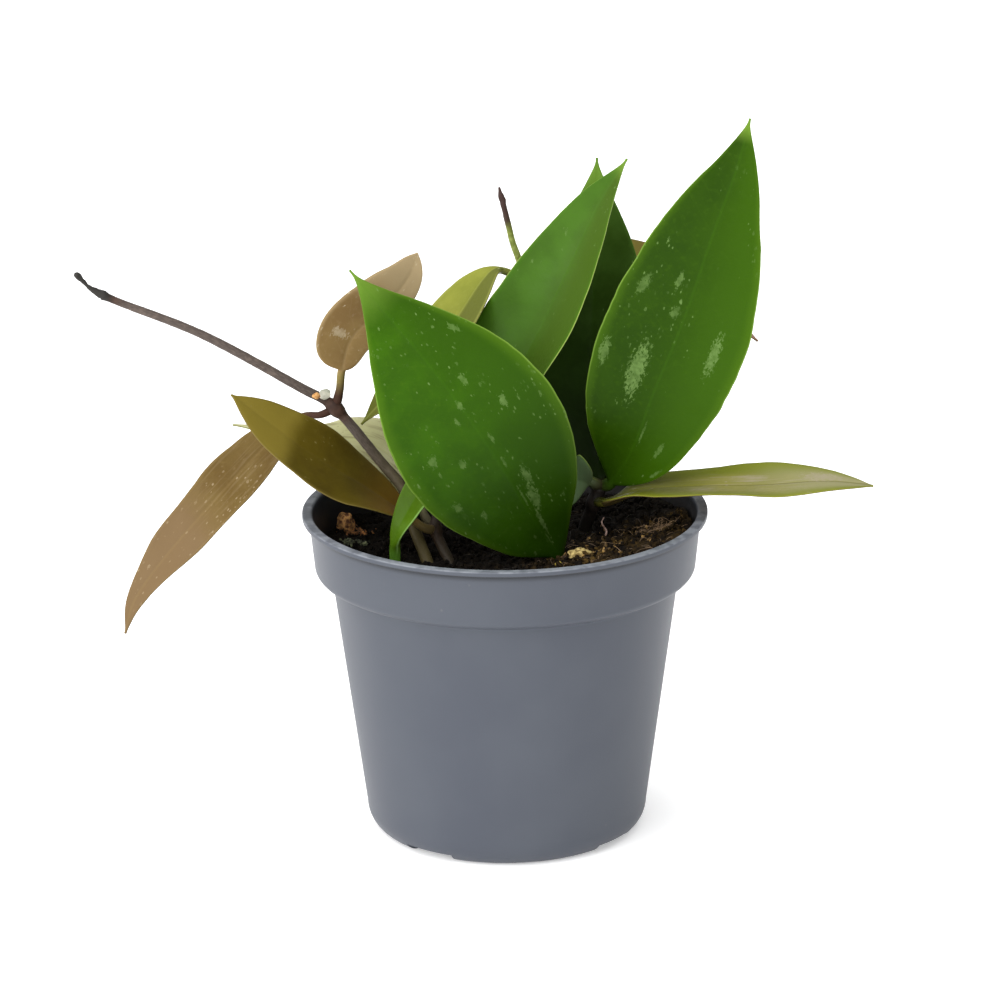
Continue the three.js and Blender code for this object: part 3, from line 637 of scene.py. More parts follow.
curve = curve_through(ROOT_PATH)
share = np.linspace(0, 1, 24)
centres, along = along_curve(curve, share * curve[0][-1])
side = unit(np.cross(along, [0.3, 0.5, 0.8]))
up = np.cross(along, side)
turn = np.linspace(0, 2 * np.pi, ROOT_SIDES, endpoint=False)[None, :, None]
girth = (ROOT_RADIUS * (0.4 + 0.6 * np.sin(np.pi * share)))[:, None, None]
rings = centres[:, None] + girth * (np.cos(turn) * side[:, None] - np.sin(turn) * up[:, None])
root_points = np.concatenate([rings.reshape(-1, 3), centres[:1], centres[-1:]])
root_skin = dusty_grit("dry_root", "#6d5348", "#c4a598")
pale_root = mesh_piece("pale_root", root_points, skin_faces(len(share), ROOT_SIDES), root_skin, 80)
store(pale_root, "tint", np.full(len(root_points), ROOT_TINT))
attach(pale_root, "root")

# Loose bits that stand out of the mix: a pellet and a crumb of yellow clay by the front leaf's foot, and
# a chip of orange pine bark at the left. All lie half sunk.
LUMP_RINGS = 26
CLAY_BIT_PLACE = [15.6, -14.2, 85.3]


def crumbly_stone(name, colour, pale, grain):
    """A broken, dusty lump: two close colours in grains of that size in millimetres, and no gloss."""
    material, tree = start_material(name)
    grains = add(tree, "TexNoise", add(tree, "TexCoord", output="Object"), Scale=1 / (grain * MM), Detail=5)
    tinted = add(tree, "Mix", add(tree, "MapRange", grains, 0.38, 0.62), linear(colour), linear(pale))
    bump = add(tree, "Bump", Height=grains, Strength=0.9, Distance=0.5 * MM)
    shader = add(tree, "BsdfPrincipled", Base_Color=tinted, Roughness=0.92, IOR=1.5, Normal=bump)
    add(tree, "OutputMaterial", shader)
    return material


def node_middle(node):
    """Middle of the node's box, in millimetres."""
    return np.mean(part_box(node), axis=0) / MM


def lump(name, centre, size, turn, seed, material):
    """A ball stretched to three widths, turned by degrees, and dented by noise of 2 and 1 mm."""
    down = np.linspace(0, np.pi, LUMP_RINGS + 2)[1:-1, None]
    round_turns = np.linspace(0, 2 * np.pi, 2 * LUMP_RINGS, endpoint=False)
    ball = ring_points(np.sin(down), -np.cos(down), round_turns).reshape(-1, 3)
    ball = np.concatenate([ball, [[0, 0, -1], [0, 0, 1]]])
    shaped = ball * np.array(size) / 2
    dents = 1 + 0.22 * lattice_noise(shaped, 2.2, seed) + 0.12 * lattice_noise(shaped, 0.8, seed + 1)
    cosine, sine = math.cos(math.radians(turn)), math.sin(math.radians(turn))
    spin = np.array([[cosine, -sine, 0], [sine, cosine, 0], [0, 0, 1]])
    points = (shaped * dents[:, None]) @ spin.T + centre
    return mesh_piece(name, points, skin_faces(LUMP_RINGS, 2 * LUMP_RINGS), material, 60)


dry_clay = crumbly_stone("dry_clay", "#6e5a2e", "#c4ae6e", 1.3)
clay = lump("clay_pellet", node_middle("clay_chip"), size=(8, 5, 3.6), turn=12, seed=11, material=dry_clay)
pine_bark = crumbly_stone("pine_bark", "#4f2c14", "#d09a5e", 1.4)
bark = lump("bark_bit", node_middle("bark_chip"), size=(5, 5.4, 7.6), turn=60, seed=23, material=pine_bark)
for piece, node, slot in ((clay, "clay_chip", "chip"), (bark, "bark_chip", "bark")):
    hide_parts(node)
    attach(piece, "root")
yellow_clay = crumbly_stone("yellow_clay", "#8a7424", "#c4b04a", 1.0)
clay_bit = lump("clay_bit", CLAY_BIT_PLACE, size=(2.4, 1.8, 1.8), turn=40, seed=13, material=yellow_clay)
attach(clay_bit, "root")

# The left stem is the old vine: woody, purplish brown, with a thick node. Beyond its two leaves it is
# bare and dry, and ends in a withered nub. It is rooted in the mix.
STEM_SIDES = 28
STEM_STEP = 0.4
KNOT_LENGTH = 1.6
KNOT_BLUR = 1.6
KNOB_DEPTH = 0.07
TIP_KNOB_DEPTH = 0.25
KNOB_REACH = 3
FAR_FROM_NODES = 99.0


def smooth_step(value, low, high):
    """0 under low, 1 over high, and a smooth bend between."""
    t = np.clip((value - low) / (high - low), 0, 1)
    return t * t * (3 - 2 * t)


def bark_skin(name, dark, pale, old, low, fresh="#6b5a3f", fresh_from=400, bud="#3a2825", bud_from=400):
    """Young bark: purplish brown with fine lengthwise wrinkles and pale pores.

    It is green from fresh_from on, where it is still soft, in the two old tones at the nodes, of the low
    colour near the mix and of the bud's beyond bud_from. The attribute "vine" holds the millimetres along
    the stem, the turn round it, and the distance from the nearest node.
    """
    material, tree = start_material(name)
    vine = add(tree, "Attribute", attribute_name="vine", output="Vector")
    along, _, apart = add(tree, "SeparateXYZ", vine).node.outputs
    place = add(tree, "TexCoord", output="Object")
    wrinkle_place = add(tree, "Mapping", vine, Scale=(0.5, 3, 0))
    wrinkles = add(tree, "TexNoise", wrinkle_place, Scale=1, Detail=4)
    spots = add(tree, "TexNoise", place, Scale=420, Detail=3)
    pores = add(tree, "MapRange", add(tree, "TexVoronoi", place, Scale=700), 0.1, 0.24, 0.55, 0)
    soft = add(tree, "Mix", add(tree, "MapRange", spots, 0.4, 0.7), linear(fresh), linear("#8f9a52"))
    node = add(tree, "Mix", add(tree, "MapRange", spots, 0.35, 0.7), linear(old[0]), linear(old[1]))
    colour = linear(dark)
    for share, over in (
            (add(tree, "MapRange", wrinkles, 0.35, 0.68, 0.15, 0.85), linear(pale)),
            (add(tree, "MapRange", spots, 0.5, 0.75, 0, 0.2), linear("#8d7c70")),
            (pores, linear(pale)),
            (add(tree, "MapRange", along, 24, 66, 0.85, 0), linear(low)),
            (add(tree, "MapRange", along, fresh_from, fresh_from + 12), soft),
            (add(tree, "MapRange", apart, 2, 8, 0.95, 0), node),
            (add(tree, "MapRange", along, bud_from, bud_from + 4, 0, 0.95), linear(bud))):
        colour = add(tree, "Mix", share, colour, over)
    bump = add(tree, "Bump", Height=wrinkles, Strength=0.2, Distance=0.3 * MM)
    shader = add(
        tree, "BsdfPrincipled", Base_Color=colour, Roughness=0.55, IOR=1.45, Specular_IOR_Level=0.2,
        Normal=bump)
    add(tree, "OutputMaterial", shader)
    return material


def vine_stem(name, node, path, radius, knots, end, seed, material):
    """A round section carried along the path.

    The radius changes evenly between the two given. It narrows by a smooth step to end's third number,
    from end's first to its second distance before the tip, and swells as a half ellipse at each knot (a
    place and a radius). Fine noise makes the wrinkles, and coarser noise the knobs at knots and tip.
    """
    curve = curve_through(path)
    length = curve[0][-1]
    places = np.linspace(0, length, int(length / STEM_STEP))
    centres, along = along_curve(curve, places)
    side = np.empty_like(centres)
    last = np.array([1.0, 0, 0])
    for index, direction in enumerate(along):
        last = unit(last - direction * last.dot(direction))
        side[index] = last
    up = np.cross(along, side)
    girth = radius[0] + (radius[1] - radius[0]) * places / length
    girth = girth + (end[2] - girth) * smooth_step(places, length - end[0], length - end[1])
    apart = np.full(len(places), FAR_FROM_NODES)
    for point, swell in knots:
        at = curve[0][np.argmin(np.linalg.norm(curve[1] - np.array(point), axis=1))]
        near = np.abs(places - at) / (KNOT_LENGTH * swell)
        girth = np.maximum(girth, swell * np.sqrt(np.maximum(0, 1 - near * near)))
        apart = np.minimum(apart, np.abs(places - at))
    bell = np.exp(-0.5 * (np.arange(-4, 5) / KNOT_BLUR) ** 2)
    girth = np.convolve(np.pad(girth, 4, mode="edge"), bell / bell.sum(), mode="valid")
    to_end = np.clip((length - places) / girth[-1], 0, 1)
    girth = girth * np.sqrt(np.maximum(0.02, 1 - (1 - to_end) ** 2))
    angle = np.linspace(0, 2 * np.pi, STEM_SIDES, endpoint=False)
    out = np.cos(angle)[None, :, None] * side[:, None] + np.sin(angle)[None, :, None] * up[:, None]
    base = centres[:, None] + girth[:, None, None] * out
    rough = 0.05 * lattice_noise(base, 1.6, seed) + 0.02 * lattice_noise(base * [2, 2, 1], 1.1, seed + 1)
    at_tip = smooth_step(places, length - end[0] - 3, length - end[0])
    knobs = lattice_noise(base, 1.9 - 0.8 * at_tip[:, None, None], seed + 2)
    knobs = (KNOB_DEPTH + TIP_KNOB_DEPTH * at_tip)[:, None] * knobs
    knobs = knobs * np.maximum(np.exp(-(apart / KNOB_REACH) ** 2), at_tip)[:, None]
    points = base + out * (rough + knobs)[..., None] * np.minimum(1, girth)[:, None, None]
    points = np.concatenate([points.reshape(-1, 3), centres[:1], centres[-1:]])
    piece = mesh_piece(name, points, skin_faces(len(places), STEM_SIDES), material, 60)
    vine = np.stack(np.broadcast_arrays(places[:, None], angle[None, :], apart[:, None]), -1).reshape(-1, 3)
    store(piece, "vine", np.concatenate([vine, [[0, 0, 9], [length, 0, 9]]]))
    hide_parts(node)
    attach(piece, "root")


old_bark = bark_skin(
    "old_vine_bark", "#433a36", "#5a5049", ("#312019", "#453026"), "#443c1c", bud="#2b2a27", bud_from=139)
vine_stem(
    "left_vine", "left_stem",
    path=[[-22.5, -8, 75.5], [-22.5, -9.5, 83], [-27, -1, 93], [-30, 5, 102.5], [-37, 10, 110],
          [-50, 13, 125.5], [-60.5, 11, 132.8], [-89, 7, 150.4], [-116.6, 3, 163.3], [-125, 1, 170.8]],
    radius=(1.8, 1.05), end=(10, 5, 0.6), seed=51, material=old_bark,
    knots=[([-50, 13, 125.5], 2.4), ([-117, 3, 163.6], 1.5), ([-124.2, 1.2, 170.1], 1.15)])

# Beside the left stem's node: the orange scar of a fallen leaf, of torn dry bark, and the papery flap
# that is left of a bud scale. Both have grown on the stem.
SCAR_PLACE = [-55.4, 10.6, 130.1]
FLAP_PLACE = [-53.2, 10.6, 130.6]


def dry_membrane():
    """Papery remains of a bud scale: thin, off-white and half see-through."""
    material, tree = start_material("dry_membrane")
    cloud = add(tree, "TexNoise", add(tree, "TexCoord", output="Object"), Scale=600, Detail=3)
    colour = add(tree, "Mix", add(tree, "MapRange", cloud, 0.35, 0.65), linear("#a5a895"), linear("#d6d3c2"))
    shader = add(tree, "BsdfPrincipled", Base_Color=colour, Roughness=0.4, IOR=1.4, Transmission_Weight=0.3)
    add(tree, "OutputMaterial", shader)
    return material


torn_bark = crumbly_stone("torn_bark", "#8f5f2e", "#c9975c", 1.2)
scar = lump("leaf_scar", SCAR_PLACE, size=(2.6, 1.8, 2.0), turn=20, seed=31, material=torn_bark)
flap = lump("dry_flap", FLAP_PLACE, size=(3.4, 0.5, 3.4), turn=15, seed=37, material=dry_membrane())
for piece in (scar, flap):
    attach(piece, "root")

# The left stem's two leaves: the small one that stands up and the long one that hangs over the pot's
# lip. Both are thin-skinned pinkish bronze, and grow from the node on short bent stalks.
LEAF_SIDES = 72
LEAF_STEPS = 150
STALK_STEPS = 26
LEAF_THICKNESS = 1.2
LEAF_TIP_RADIUS = 0.35
EDGE_CROWDING = 0.32
EDGE_WAVE = 0.7
EDGE_WAVE_SHIFT = 1.7
BLADE_SQUARENESS = 0.6
TIP_TAPER = 0.02
ROOT_SHARE = 0.25
STALK_FOOT = 0.18
STALK_FOOT_LENGTH = 2.2
GROOVE_DEPTH = 0.12
GROOVE_WIDTH = 0.75
RIDGE_DEPTH = 0.45
RIDGE_WIDTH = 0.9
SIDE_VEIN_GAP = 7
SIDE_VEIN_LEAN = 0.9
FLECK_SIZES = ((5.2, 0.15, 0.5, 0.9), (2.3, 0.19, 0.8, 0.9), (1.1, 0.25, 0.7, 0.8))
PATCH_TEAR = 3.6
BRONZE_LOOK = {
    "skin": "#93805e", "deep": "#8a7254", "light": "#a6916c", "rib": "#9a8560", "edge": "#74653a",
    "fleck": "#a99c80", "flecks": 0.45, "under": "#74634a", "under_deep": "#80664f",
    "stalk": "#3d2a22", "stalk_pale": "#7d7040", "rough": 0.42, "veins": 0.06,
}


def waxy_leaf(name, look):
    """Living leaf skin: a smooth waxy layer over green flesh, with silver air pockets as flecks and patches.

    Attribute "blade": x from -1 at the left edge to 1 at the right, v from 0 at the stalk to 1 at the
    tip, and 1 on the upper face or -1 on the lower. Attribute "flat": millimetres across and along.

    The look's colours are skin, deep and light for the upper face, under and under_deep for the lower,
    rib, edge, fleck, and stalk and stalk_pale. Its half_colour, base and tip are a colour and the x or v
    between which it comes or goes. Flecks, veins, streaks, rib_share and margin_share are strengths, and
    a patch is x, v, half width, half length and strength. The margin starts at the x of margin_from, and
    the stalk ends at the v of stalk_end. Shade is painted shade, the brightness at the stalk and the v where
    it ends, streak_scale is how many streaks lie in a millimetre, and rough is how dull the skin is.
    """
    material, tree = start_material(name)
    blade = add(tree, "Attribute", attribute_name="blade", output="Vector")
    x, v, face = add(tree, "SeparateXYZ", blade).node.outputs
    flat = add(tree, "Attribute", attribute_name="flat", output="Vector")
    flat_across, flat_along, _ = add(tree, "SeparateXYZ", flat).node.outputs
    across = add(tree, "Math", x, operation="ABSOLUTE")
    from_rib = add(tree, "Math", flat_across, operation="ABSOLUTE")
    cloud = add(tree, "TexNoise", flat, Scale=0.09, Detail=3)
    mottle = add(tree, "TexNoise", flat, Scale=0.6, Detail=4)
    cloudy = add(tree, "MapRange", cloud, 0.35, 0.65)
    mottled = add(tree, "MapRange", mottle, 0.5, 0.75, 0, 0.15)
    # Side veins leave the rib forwards, as faint, slightly wavy paler lines
    leaning = add(tree, "Math", from_rib, -SIDE_VEIN_LEAN, flat_along, operation="MULTIPLY_ADD")
    bent = add(tree, "Math", cloud, 6.0, leaning, operation="MULTIPLY_ADD")
    wave = add(tree, "Math", bent, math.pi / SIDE_VEIN_GAP, operation="MULTIPLY")
    wave = add(tree, "Math", add(tree, "Math", wave, operation="SINE"), operation="ABSOLUTE")
    veins = add(tree, "MapRange", wave, 0, 0.16, look["veins"], 0)
    layers = [(cloudy, look["deep"]), (mottled, look["light"]), (veins, look["light"])]
    # Lengthwise streaks, on the leaves that have them
    if "streaks" in look:
        streak_place = add(tree, "Mapping", flat, Scale=(look.get("streak_scale", 1.1), 0.07, 1))
        streaks = add(tree, "TexNoise", streak_place, Scale=1, Detail=3)
        layers.append((add(tree, "MapRange", streaks, 0.5, 0.66, 0, look["streaks"]), look["fleck"]))
    # One half, the base or the tip may be of another colour
    if "half_colour" in look:
        half, start, full = look["half_colour"]
        layers.append((add(tree, "MapRange", x, start, full), half))
    if "base" in look:
        base, full, end = look["base"]
        layers.append((add(tree, "MapRange", v, full, end, 0.85, 0), base))
    if "tip" in look:
        tip, start, full = look["tip"]
        wobble = add(tree, "Math", cloud, 0.08, -0.04, operation="MULTIPLY_ADD")
        wobbly = add(tree, "Math", v, wobble, operation="ADD")
        layers.append((add(tree, "MapRange", wobbly, start, full), tip))
    # Rib and margin
    rib = add(tree, "MapRange", from_rib, 0.15, 0.6, look.get("rib_share", 0.22), 0)
    margin_from = look.get("margin_from", 0.86)
    margin = add(tree, "MapRange", across, margin_from, 0.99, 0, look.get("margin_share", 0.5))
    edge = add(tree, "MapRange", across, 0.97, 0.998, 0, 0.85)
    layers += [(rib, look["rib"]), (margin, look["light"]), (edge, look["edge"])]
    # Flecks in loose crowds: ragged spots of 1 to 3 mm, and round dots under 0.5 mm between them
    crowd = add(tree, "TexNoise", flat, Scale=0.06, Detail=1)
    crowd = add(tree, "Math", crowd, 2, -1, operation="MULTIPLY_ADD")
    stretched = add(tree, "Mapping", flat, Scale=(1, 0.55, 1))
    ragged = add(tree, "TexNoise", stretched, Scale=1.3, Detail=5, Roughness=0.75)
    flecks = 0.0
    for spacing, size, share, tear in FLECK_SIZES:
        cells = add(tree, "TexVoronoi", stretched, Scale=1 / spacing).node.outputs
        chance, own, _ = add(tree, "SeparateXYZ", cells["Color"]).node.outputs
        chosen = add(tree, "Math", chance, crowd, operation="ADD")
        rarest = 1 - share * look["flecks"]
        reach = add(tree, "MapRange", chosen, rarest, rarest + 0.22, 0, size)
        torn = add(tree, "Math", ragged, tear, -tear / 2, operation="MULTIPLY_ADD")
        torn = add(tree, "Math", cells["Distance"], torn, operation="ADD")
        inner = add(tree, "MapRange", add(tree, "Math", reach, torn, operation="SUBTRACT"), 0, 0.06)
        spot = add(tree, "Math", inner, add(tree, "MapRange", reach, 0, 0.05), operation="MULTIPLY")
        spot = add(tree, "Math", spot, add(tree, "MapRange", own, 0, 1, 0.15, 1), operation="MULTIPLY")
        flecks = add(tree, "Math", flecks, spot, operation="MAXIMUM")
    # Silver patches: ovals with torn edges
    patch_tear = add(tree, "Math", ragged, -PATCH_TEAR, PATCH_TEAR / 2, operation="MULTIPLY_ADD")
    for centre_x, centre_v, size_x, size_v, strength in look.get("patches", ()):
        shift = (-centre_x / size_x, -centre_v / size_v, 0)
        patch_place = add(tree, "Mapping", blade, shift, Scale=(1 / size_x, 1 / size_v, 0))
        far = add(tree, "VectorMath", patch_place, operation="LENGTH")
        torn = add(tree, "Math", far, patch_tear, operation="ADD")
        patch = add(tree, "MapRange", torn, 0.62, 0.84, strength, 0)
        flecks = add(tree, "Math", flecks, patch, operation="MAXIMUM")
    fade = add(tree, "MapRange", mottle, 0.3, 0.65, 0.4, 0.85)
    layers.append((add(tree, "Math", flecks, fade, operation="MULTIPLY"), look["fleck"]))
    colour = linear(look["skin"])
    for share, over in layers:
        colour = add(tree, "Mix", share, colour, linear(over))
    # Painted shade: the blade darkens towards the stalk, where the leaves above shade it from the light
    # overhead
    shade, shade_end = look.get("shade", (1, 0.5))
    darker = add(tree, "MapRange", v, -0.05, shade_end, shade, 1)
    colour = add(tree, "VectorMath", colour, darker, operation="SCALE")
    # The lower face is paler and carries no flecks
    below = add(tree, "MapRange", cloud, 0.3, 0.7)
    below = add(tree, "Mix", below, linear(look["under"]), linear(look["under_deep"]))
    below = add(tree, "Mix", rib, below, linear(look["light"]))
    colour = add(tree, "Mix", add(tree, "MapRange", face, -0.3, 0.3, 1, 0), colour, below)
    # The stalk is corky and of its own colour, which pales where it broadens into the blade
    ripe = add(tree, "Math", mottle, 0.1, v, operation="MULTIPLY_ADD")
    ripe = add(tree, "MapRange", ripe, -0.16, 0.03)
    stalk = add(tree, "Mix", ripe, linear(look["stalk"]), linear(look["stalk_pale"]))
    stalk_end = look.get("stalk_end", -0.06)
    colour = add(tree, "Mix", add(tree, "MapRange", v, stalk_end, stalk_end + 0.08, 1, 0), colour, stalk)
    fine = add(tree, "TexNoise", add(tree, "TexCoord", output="Object"), Scale=1500, Detail=3)
    bump = add(tree, "Bump", Height=mottle, Strength=0.1, Distance=0.5 * MM)
    bump = add(tree, "Bump", Height=veins, Strength=0.3, Distance=0.2 * MM, Normal=bump)
    bump = add(tree, "Bump", Height=fine, Strength=0.12, Distance=0.1 * MM, Normal=bump)
    rough = add(tree, "MapRange", mottle, 0.3, 0.7, look["rough"] - 0.04, look["rough"] + 0.06)
    shader = add(
        tree, "BsdfPrincipled", Base_Color=colour, Roughness=rough, IOR=1.45, Specular_IOR_Level=0.07,
        Normal=bump)
    add(tree, "OutputMaterial", shader)
    return material


def leaf(name, node, seed, look, path, clear, stalk, stalk_radius, half, full, face, roll, fold, waves):
    """A ring section carried along the midrib, round in the stalk and flat in the blade.

    The path starts inside the stem, which hides its first clear millimetres, and its first stalk
    millimetres are the stalk. Half is the blade's half width at the left and right. Width: v to the power
    a times 1 - v to the power b, the two numbers in full, as 1 at its widest, times half, and drawn in to
    a drip tip over the last few hundredths. The upper face looks along face at the stalk and at the tip,
    rolled by roll. The section is folded up along the rib by the fold angle, and the blade's edges make
    so many waves. The midrib is a shallow groove above and a ridge below. Noise of under half a
    millimetre keeps the face from being even. Angles are in degrees.
    """
    curve = curve_through(path)
    length = curve[0][-1]
    blade = length - stalk
    first = clear * ROOT_SHARE
    stalk_places = first + (stalk - first) * np.arange(STALK_STEPS) / STALK_STEPS
    blade_places = stalk + blade * (1 - np.cos(np.pi * np.arange(LEAF_STEPS + 1) / LEAF_STEPS)) / 2
    places = np.concatenate([stalk_places, blade_places])
    t = (places / length)[:, None]
    centres, along = along_curve(curve, places)
    facing = np.array(face[0], float) * (1 - t) + np.array(face[1], float) * t
    normal = unit(facing - along * np.sum(facing * along, axis=1, keepdims=True))
    side = np.cross(along, normal)
    turn = np.radians(roll[0] + (roll[1] - roll[0]) * t)
    up = normal * np.cos(turn) + side * np.sin(turn)
    right = side * np.cos(turn) - normal * np.sin(turn)
    v = ((places - stalk) / blade)[:, None]
    inner = np.clip(v, 0, 1)
    # How wide and how thick the leaf is at each step
    a, b = full
    widest = a / (a + b)
    broad = inner ** a * (1 - inner) ** b / (widest ** a * (1 - widest) ** b)
    shape = broad * (1 - inner) * (1 + TIP_TAPER) / (1 - inner + TIP_TAPER)
    flat = smooth_step(v, -0.02, 0.1)
    foot_swell = STALK_FOOT * np.exp(-((places[:, None] - clear) / STALK_FOOT_LENGTH) ** 2)
    foot = stalk_radius * (1 + foot_swell * (clear > 0))
    rib = foot + (LEAF_TIP_RADIUS - foot) * inner
    thick = foot + (LEAF_THICKNESS / 2 - foot) * flat
    height = thick + (LEAF_TIP_RADIUS - thick) * smooth_step(v, 0.85, 1)
    power = 1 + (BLADE_SQUARENESS - 1) * flat
    # Turns round the section, closer together at the edges: x from -1 to 1, and the side above or below
    step = np.linspace(0, 2 * np.pi, LEAF_SIDES, endpoint=False)
    angle = -(step + EDGE_CROWDING * np.sin(2 * step))[None, :]
    x = np.cos(angle)
    sine = np.sin(angle)
    wide = np.where(x < 0, half[0], half[1]) * shape
    edge_place = np.stack(np.broadcast_arrays(v * blade, np.sign(x) * 50.0, seed * 10.0), -1)
    uneven = 0.012 * lattice_noise(edge_place, 7, seed) + 0.005 * lattice_noise(edge_place, 2.5, seed + 1)
    wide = wide * (1 + uneven)
    reach = x * np.hypot(wide * math.cos(math.radians(fold)), rib)
    lift = wide * math.sin(math.radians(fold)) * np.abs(x) ** 1.5
    phase = 2 * np.pi * waves * v + np.where(x < 0, 0, EDGE_WAVE_SHIFT)
    wave = np.where(v > 0, EDGE_WAVE * np.sin(phase) * x * x * 4 * v * (1 - v), 0)
    skin = np.sign(sine) * height * np.abs(sine) ** power
    flesh = flat * smooth_step(1 - v, 0, 0.2)
    across = x * wide
    groove = -GROOVE_DEPTH * np.exp(-(across / GROOVE_WIDTH) ** 2) * (sine > 0) * flesh
    ridge = -RIDGE_DEPTH * np.exp(-(across / RIDGE_WIDTH) ** 2) * (sine < 0) * flesh
    flat_place = np.stack(np.broadcast_arrays(across, places[:, None], seed * 40.0), -1)
    swell = 0.22 * lattice_noise(flat_place, 13, seed + 2) + 0.1 * lattice_noise(flat_place, 4, seed + 3)
    lifted = lift + wave + skin + groove + ridge + swell * flesh * np.abs(x)
    points = centres[:, None] + reach[..., None] * right[:, None] + lifted[..., None] * up[:, None]
    points = np.concatenate([points.reshape(-1, 3), centres[:1], centres[-1:]])
    faces = skin_faces(len(places), LEAF_SIDES, True)
    piece = mesh_piece(name, points, faces, waxy_leaf(name + "_skin", look), 75)
    blade_values = np.stack(np.broadcast_arrays(x, v, np.clip(3 * sine, -1, 1)), -1).reshape(-1, 3)
    store(piece, "blade", np.concatenate([blade_values, [[0, v[0, 0], 1], [0, 1, 1]]]))
    flat_ends = [[0, places[0], seed * 40], [0, length, seed * 40]]
    store(piece, "flat", np.concatenate([flat_place.reshape(-1, 3), flat_ends]))
    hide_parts(node)
    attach(piece, "root")


leaf(
    "small_bronze_leaf", "small_leaf", seed=3,
    look={**BRONZE_LOOK, "skin": "#7f6840", "deep": "#765e3a", "fleck": "#b3a78c",
          "tip": ("#9d8a68", 0.45, 0.8), "patches": [(-0.38, 0.25, 0.3, 0.035, 0.6)]},
    path=[[-50, 13, 125.5], [-48.6, 12.3, 131.5], [-47.8, 11.3, 138], [-44.5, 9, 148.5], [-35.5, 8, 157.5],
          [-28.5, 8, 166], [-25, 9, 174]],
    clear=3, stalk=13, stalk_radius=1.2, half=(11.8, 6.8), full=(0.4, 0.5),
    face=([0, -1, 0.2], [0, -1, 0.2]), roll=(5, 29), fold=6, waves=1)
leaf(
    "drooping_bronze_leaf", "drooping_leaf", seed=5,
    look={**BRONZE_LOOK, "skin": "#604e28", "deep": "#574420", "light": "#72603b", "edge": "#54472a",
          "rib": "#77633f", "fleck": "#8b7a5e", "flecks": 0.8, "streaks": 0.15, "stalk_pale": "#432e26",
          "tip": ("#69553a", 0.35, 0.6)},
    path=[[-50, 13, 125.5], [-54.5, 13, 123.5], [-59, 14, 123], [-64, 13, 121], [-72, 10, 113.5],
          [-85, 7, 100], [-100, 4, 83.5], [-110, 2, 70], [-113.5, 1, 59.5]],
    clear=2.8, stalk=12, stalk_radius=1, half=(8.4, 8.7), full=(0.56, 0.87),
    face=([-0.35, -0.85, 0.4], [-0.45, -0.8, 0.3]), roll=(0, 4), fold=8, waves=3)

# The back stem is this year's: thin, brown low down and green near its growing tip, which ends in a dark
# bud. It is rooted in the mix and has two nodes.
young_bark = bark_skin(
    "young_vine_bark", "#3b2f27", "#66594c", ("#281c13", "#382a1e"), "#1f190c", "#6a7330", 60, bud_from=120)
vine_stem(
    "back_vine", "back_stem",
    path=[[-16, -8, 75.5], [-16, -9, 83], [-20.5, -2, 92.5], [-18, 5, 99.5], [-14, 18, 110], [-9, 29, 124],
          [-3, 36.5, 139], [5.5, 40, 156], [2.5, 41, 170.5], [-1, 42, 185.5]],
    radius=(1.65, 0.85), end=(4.5, 0, 0.3), seed=57, material=young_bark,
    knots=[([-20.5, -2, 92.5], 2.2), ([5.5, 40, 156], 1.9), ([-0.3, 42, 182.3], 0.95)])

# The back stem's four leaves, a pair at each node: an olive one and a pale one below, and a yellow-green
# one and an olive one above, smooth and waxy on short corky stalks.
OLIVE_LOOK = {
    "skin": "#493e0c", "deep": "#40350b", "light": "#5a4e20", "rib": "#5c5028", "edge": "#6d6130",
    "fleck": "#6b6038", "flecks": 0.1, "under": "#62562f", "under_deep": "#574631",
    "stalk": "#4a352e", "stalk_pale": "#665933", "rough": 0.4, "veins": 0.08, "rib_share": 0.08,
}
YELLOW_LOOK = {
    "skin": "#7a7e2f", "deep": "#6f7429", "light": "#8c9048", "rib": "#8c9048", "edge": "#6d6a33",
    "fleck": "#9a9e70", "flecks": 0.15, "under": "#7a8248", "under_deep": "#6f6d3f",
    "stalk": "#5f5a2c", "stalk_pale": "#80843c", "rough": 0.42, "veins": 0.06,
}
# Painted light: the lighter tip past a fairly sharp line; the darker blade behind it stands for the shadow
# that the leaves above cast
leaf(
    "olive_blade", "olive_leaf", seed=7,
    look={**OLIVE_LOOK, "tip": ("#6d6024", 0.6, 0.71), "base": ("#6a4c1a", -0.05, 0.35)},
    path=[[-20.5, -2, 92.5], [-23.5, -4.5, 93.5], [-29, -3.8, 97.2], [-41, -5, 106.5], [-54.5, -8, 116],
          [-67.5, -9.5, 126.5], [-79.5, -11, 137]],
    clear=2.6, stalk=9.3, stalk_radius=1.2, half=(13.2, 12.3), full=(0.77, 0.86),
    face=([0.4, -0.4, 0.7], [0.4, -0.4, 0.7]), roll=(14, -16), fold=8, waves=2)
leaf(
    "pale_blade", "pale_leaf", seed=9,
    look={**YELLOW_LOOK, "skin": "#aaa882", "deep": "#9c9b70", "light": "#b0ae8e", "fleck": "#77724f",
          "streaks": 0.65, "streak_scale": 0.55, "stalk": "#332e20", "stalk_pale": "#57523c"},
    path=[[-20.5, -2, 92.5], [-24, 2.5, 95.5], [-27.5, 14, 104], [-41, 24, 111], [-55, 27, 112],
          [-69, 29, 114], [-81.5, 30, 115.5]],
    clear=4.2, stalk=10, stalk_radius=1.2, half=(15.1, 15.1), full=(0.47, 1.29),
    face=([0.1, -0.35, 1], [0, -0.3, 1]), roll=(-5, 16), fold=4, waves=2)
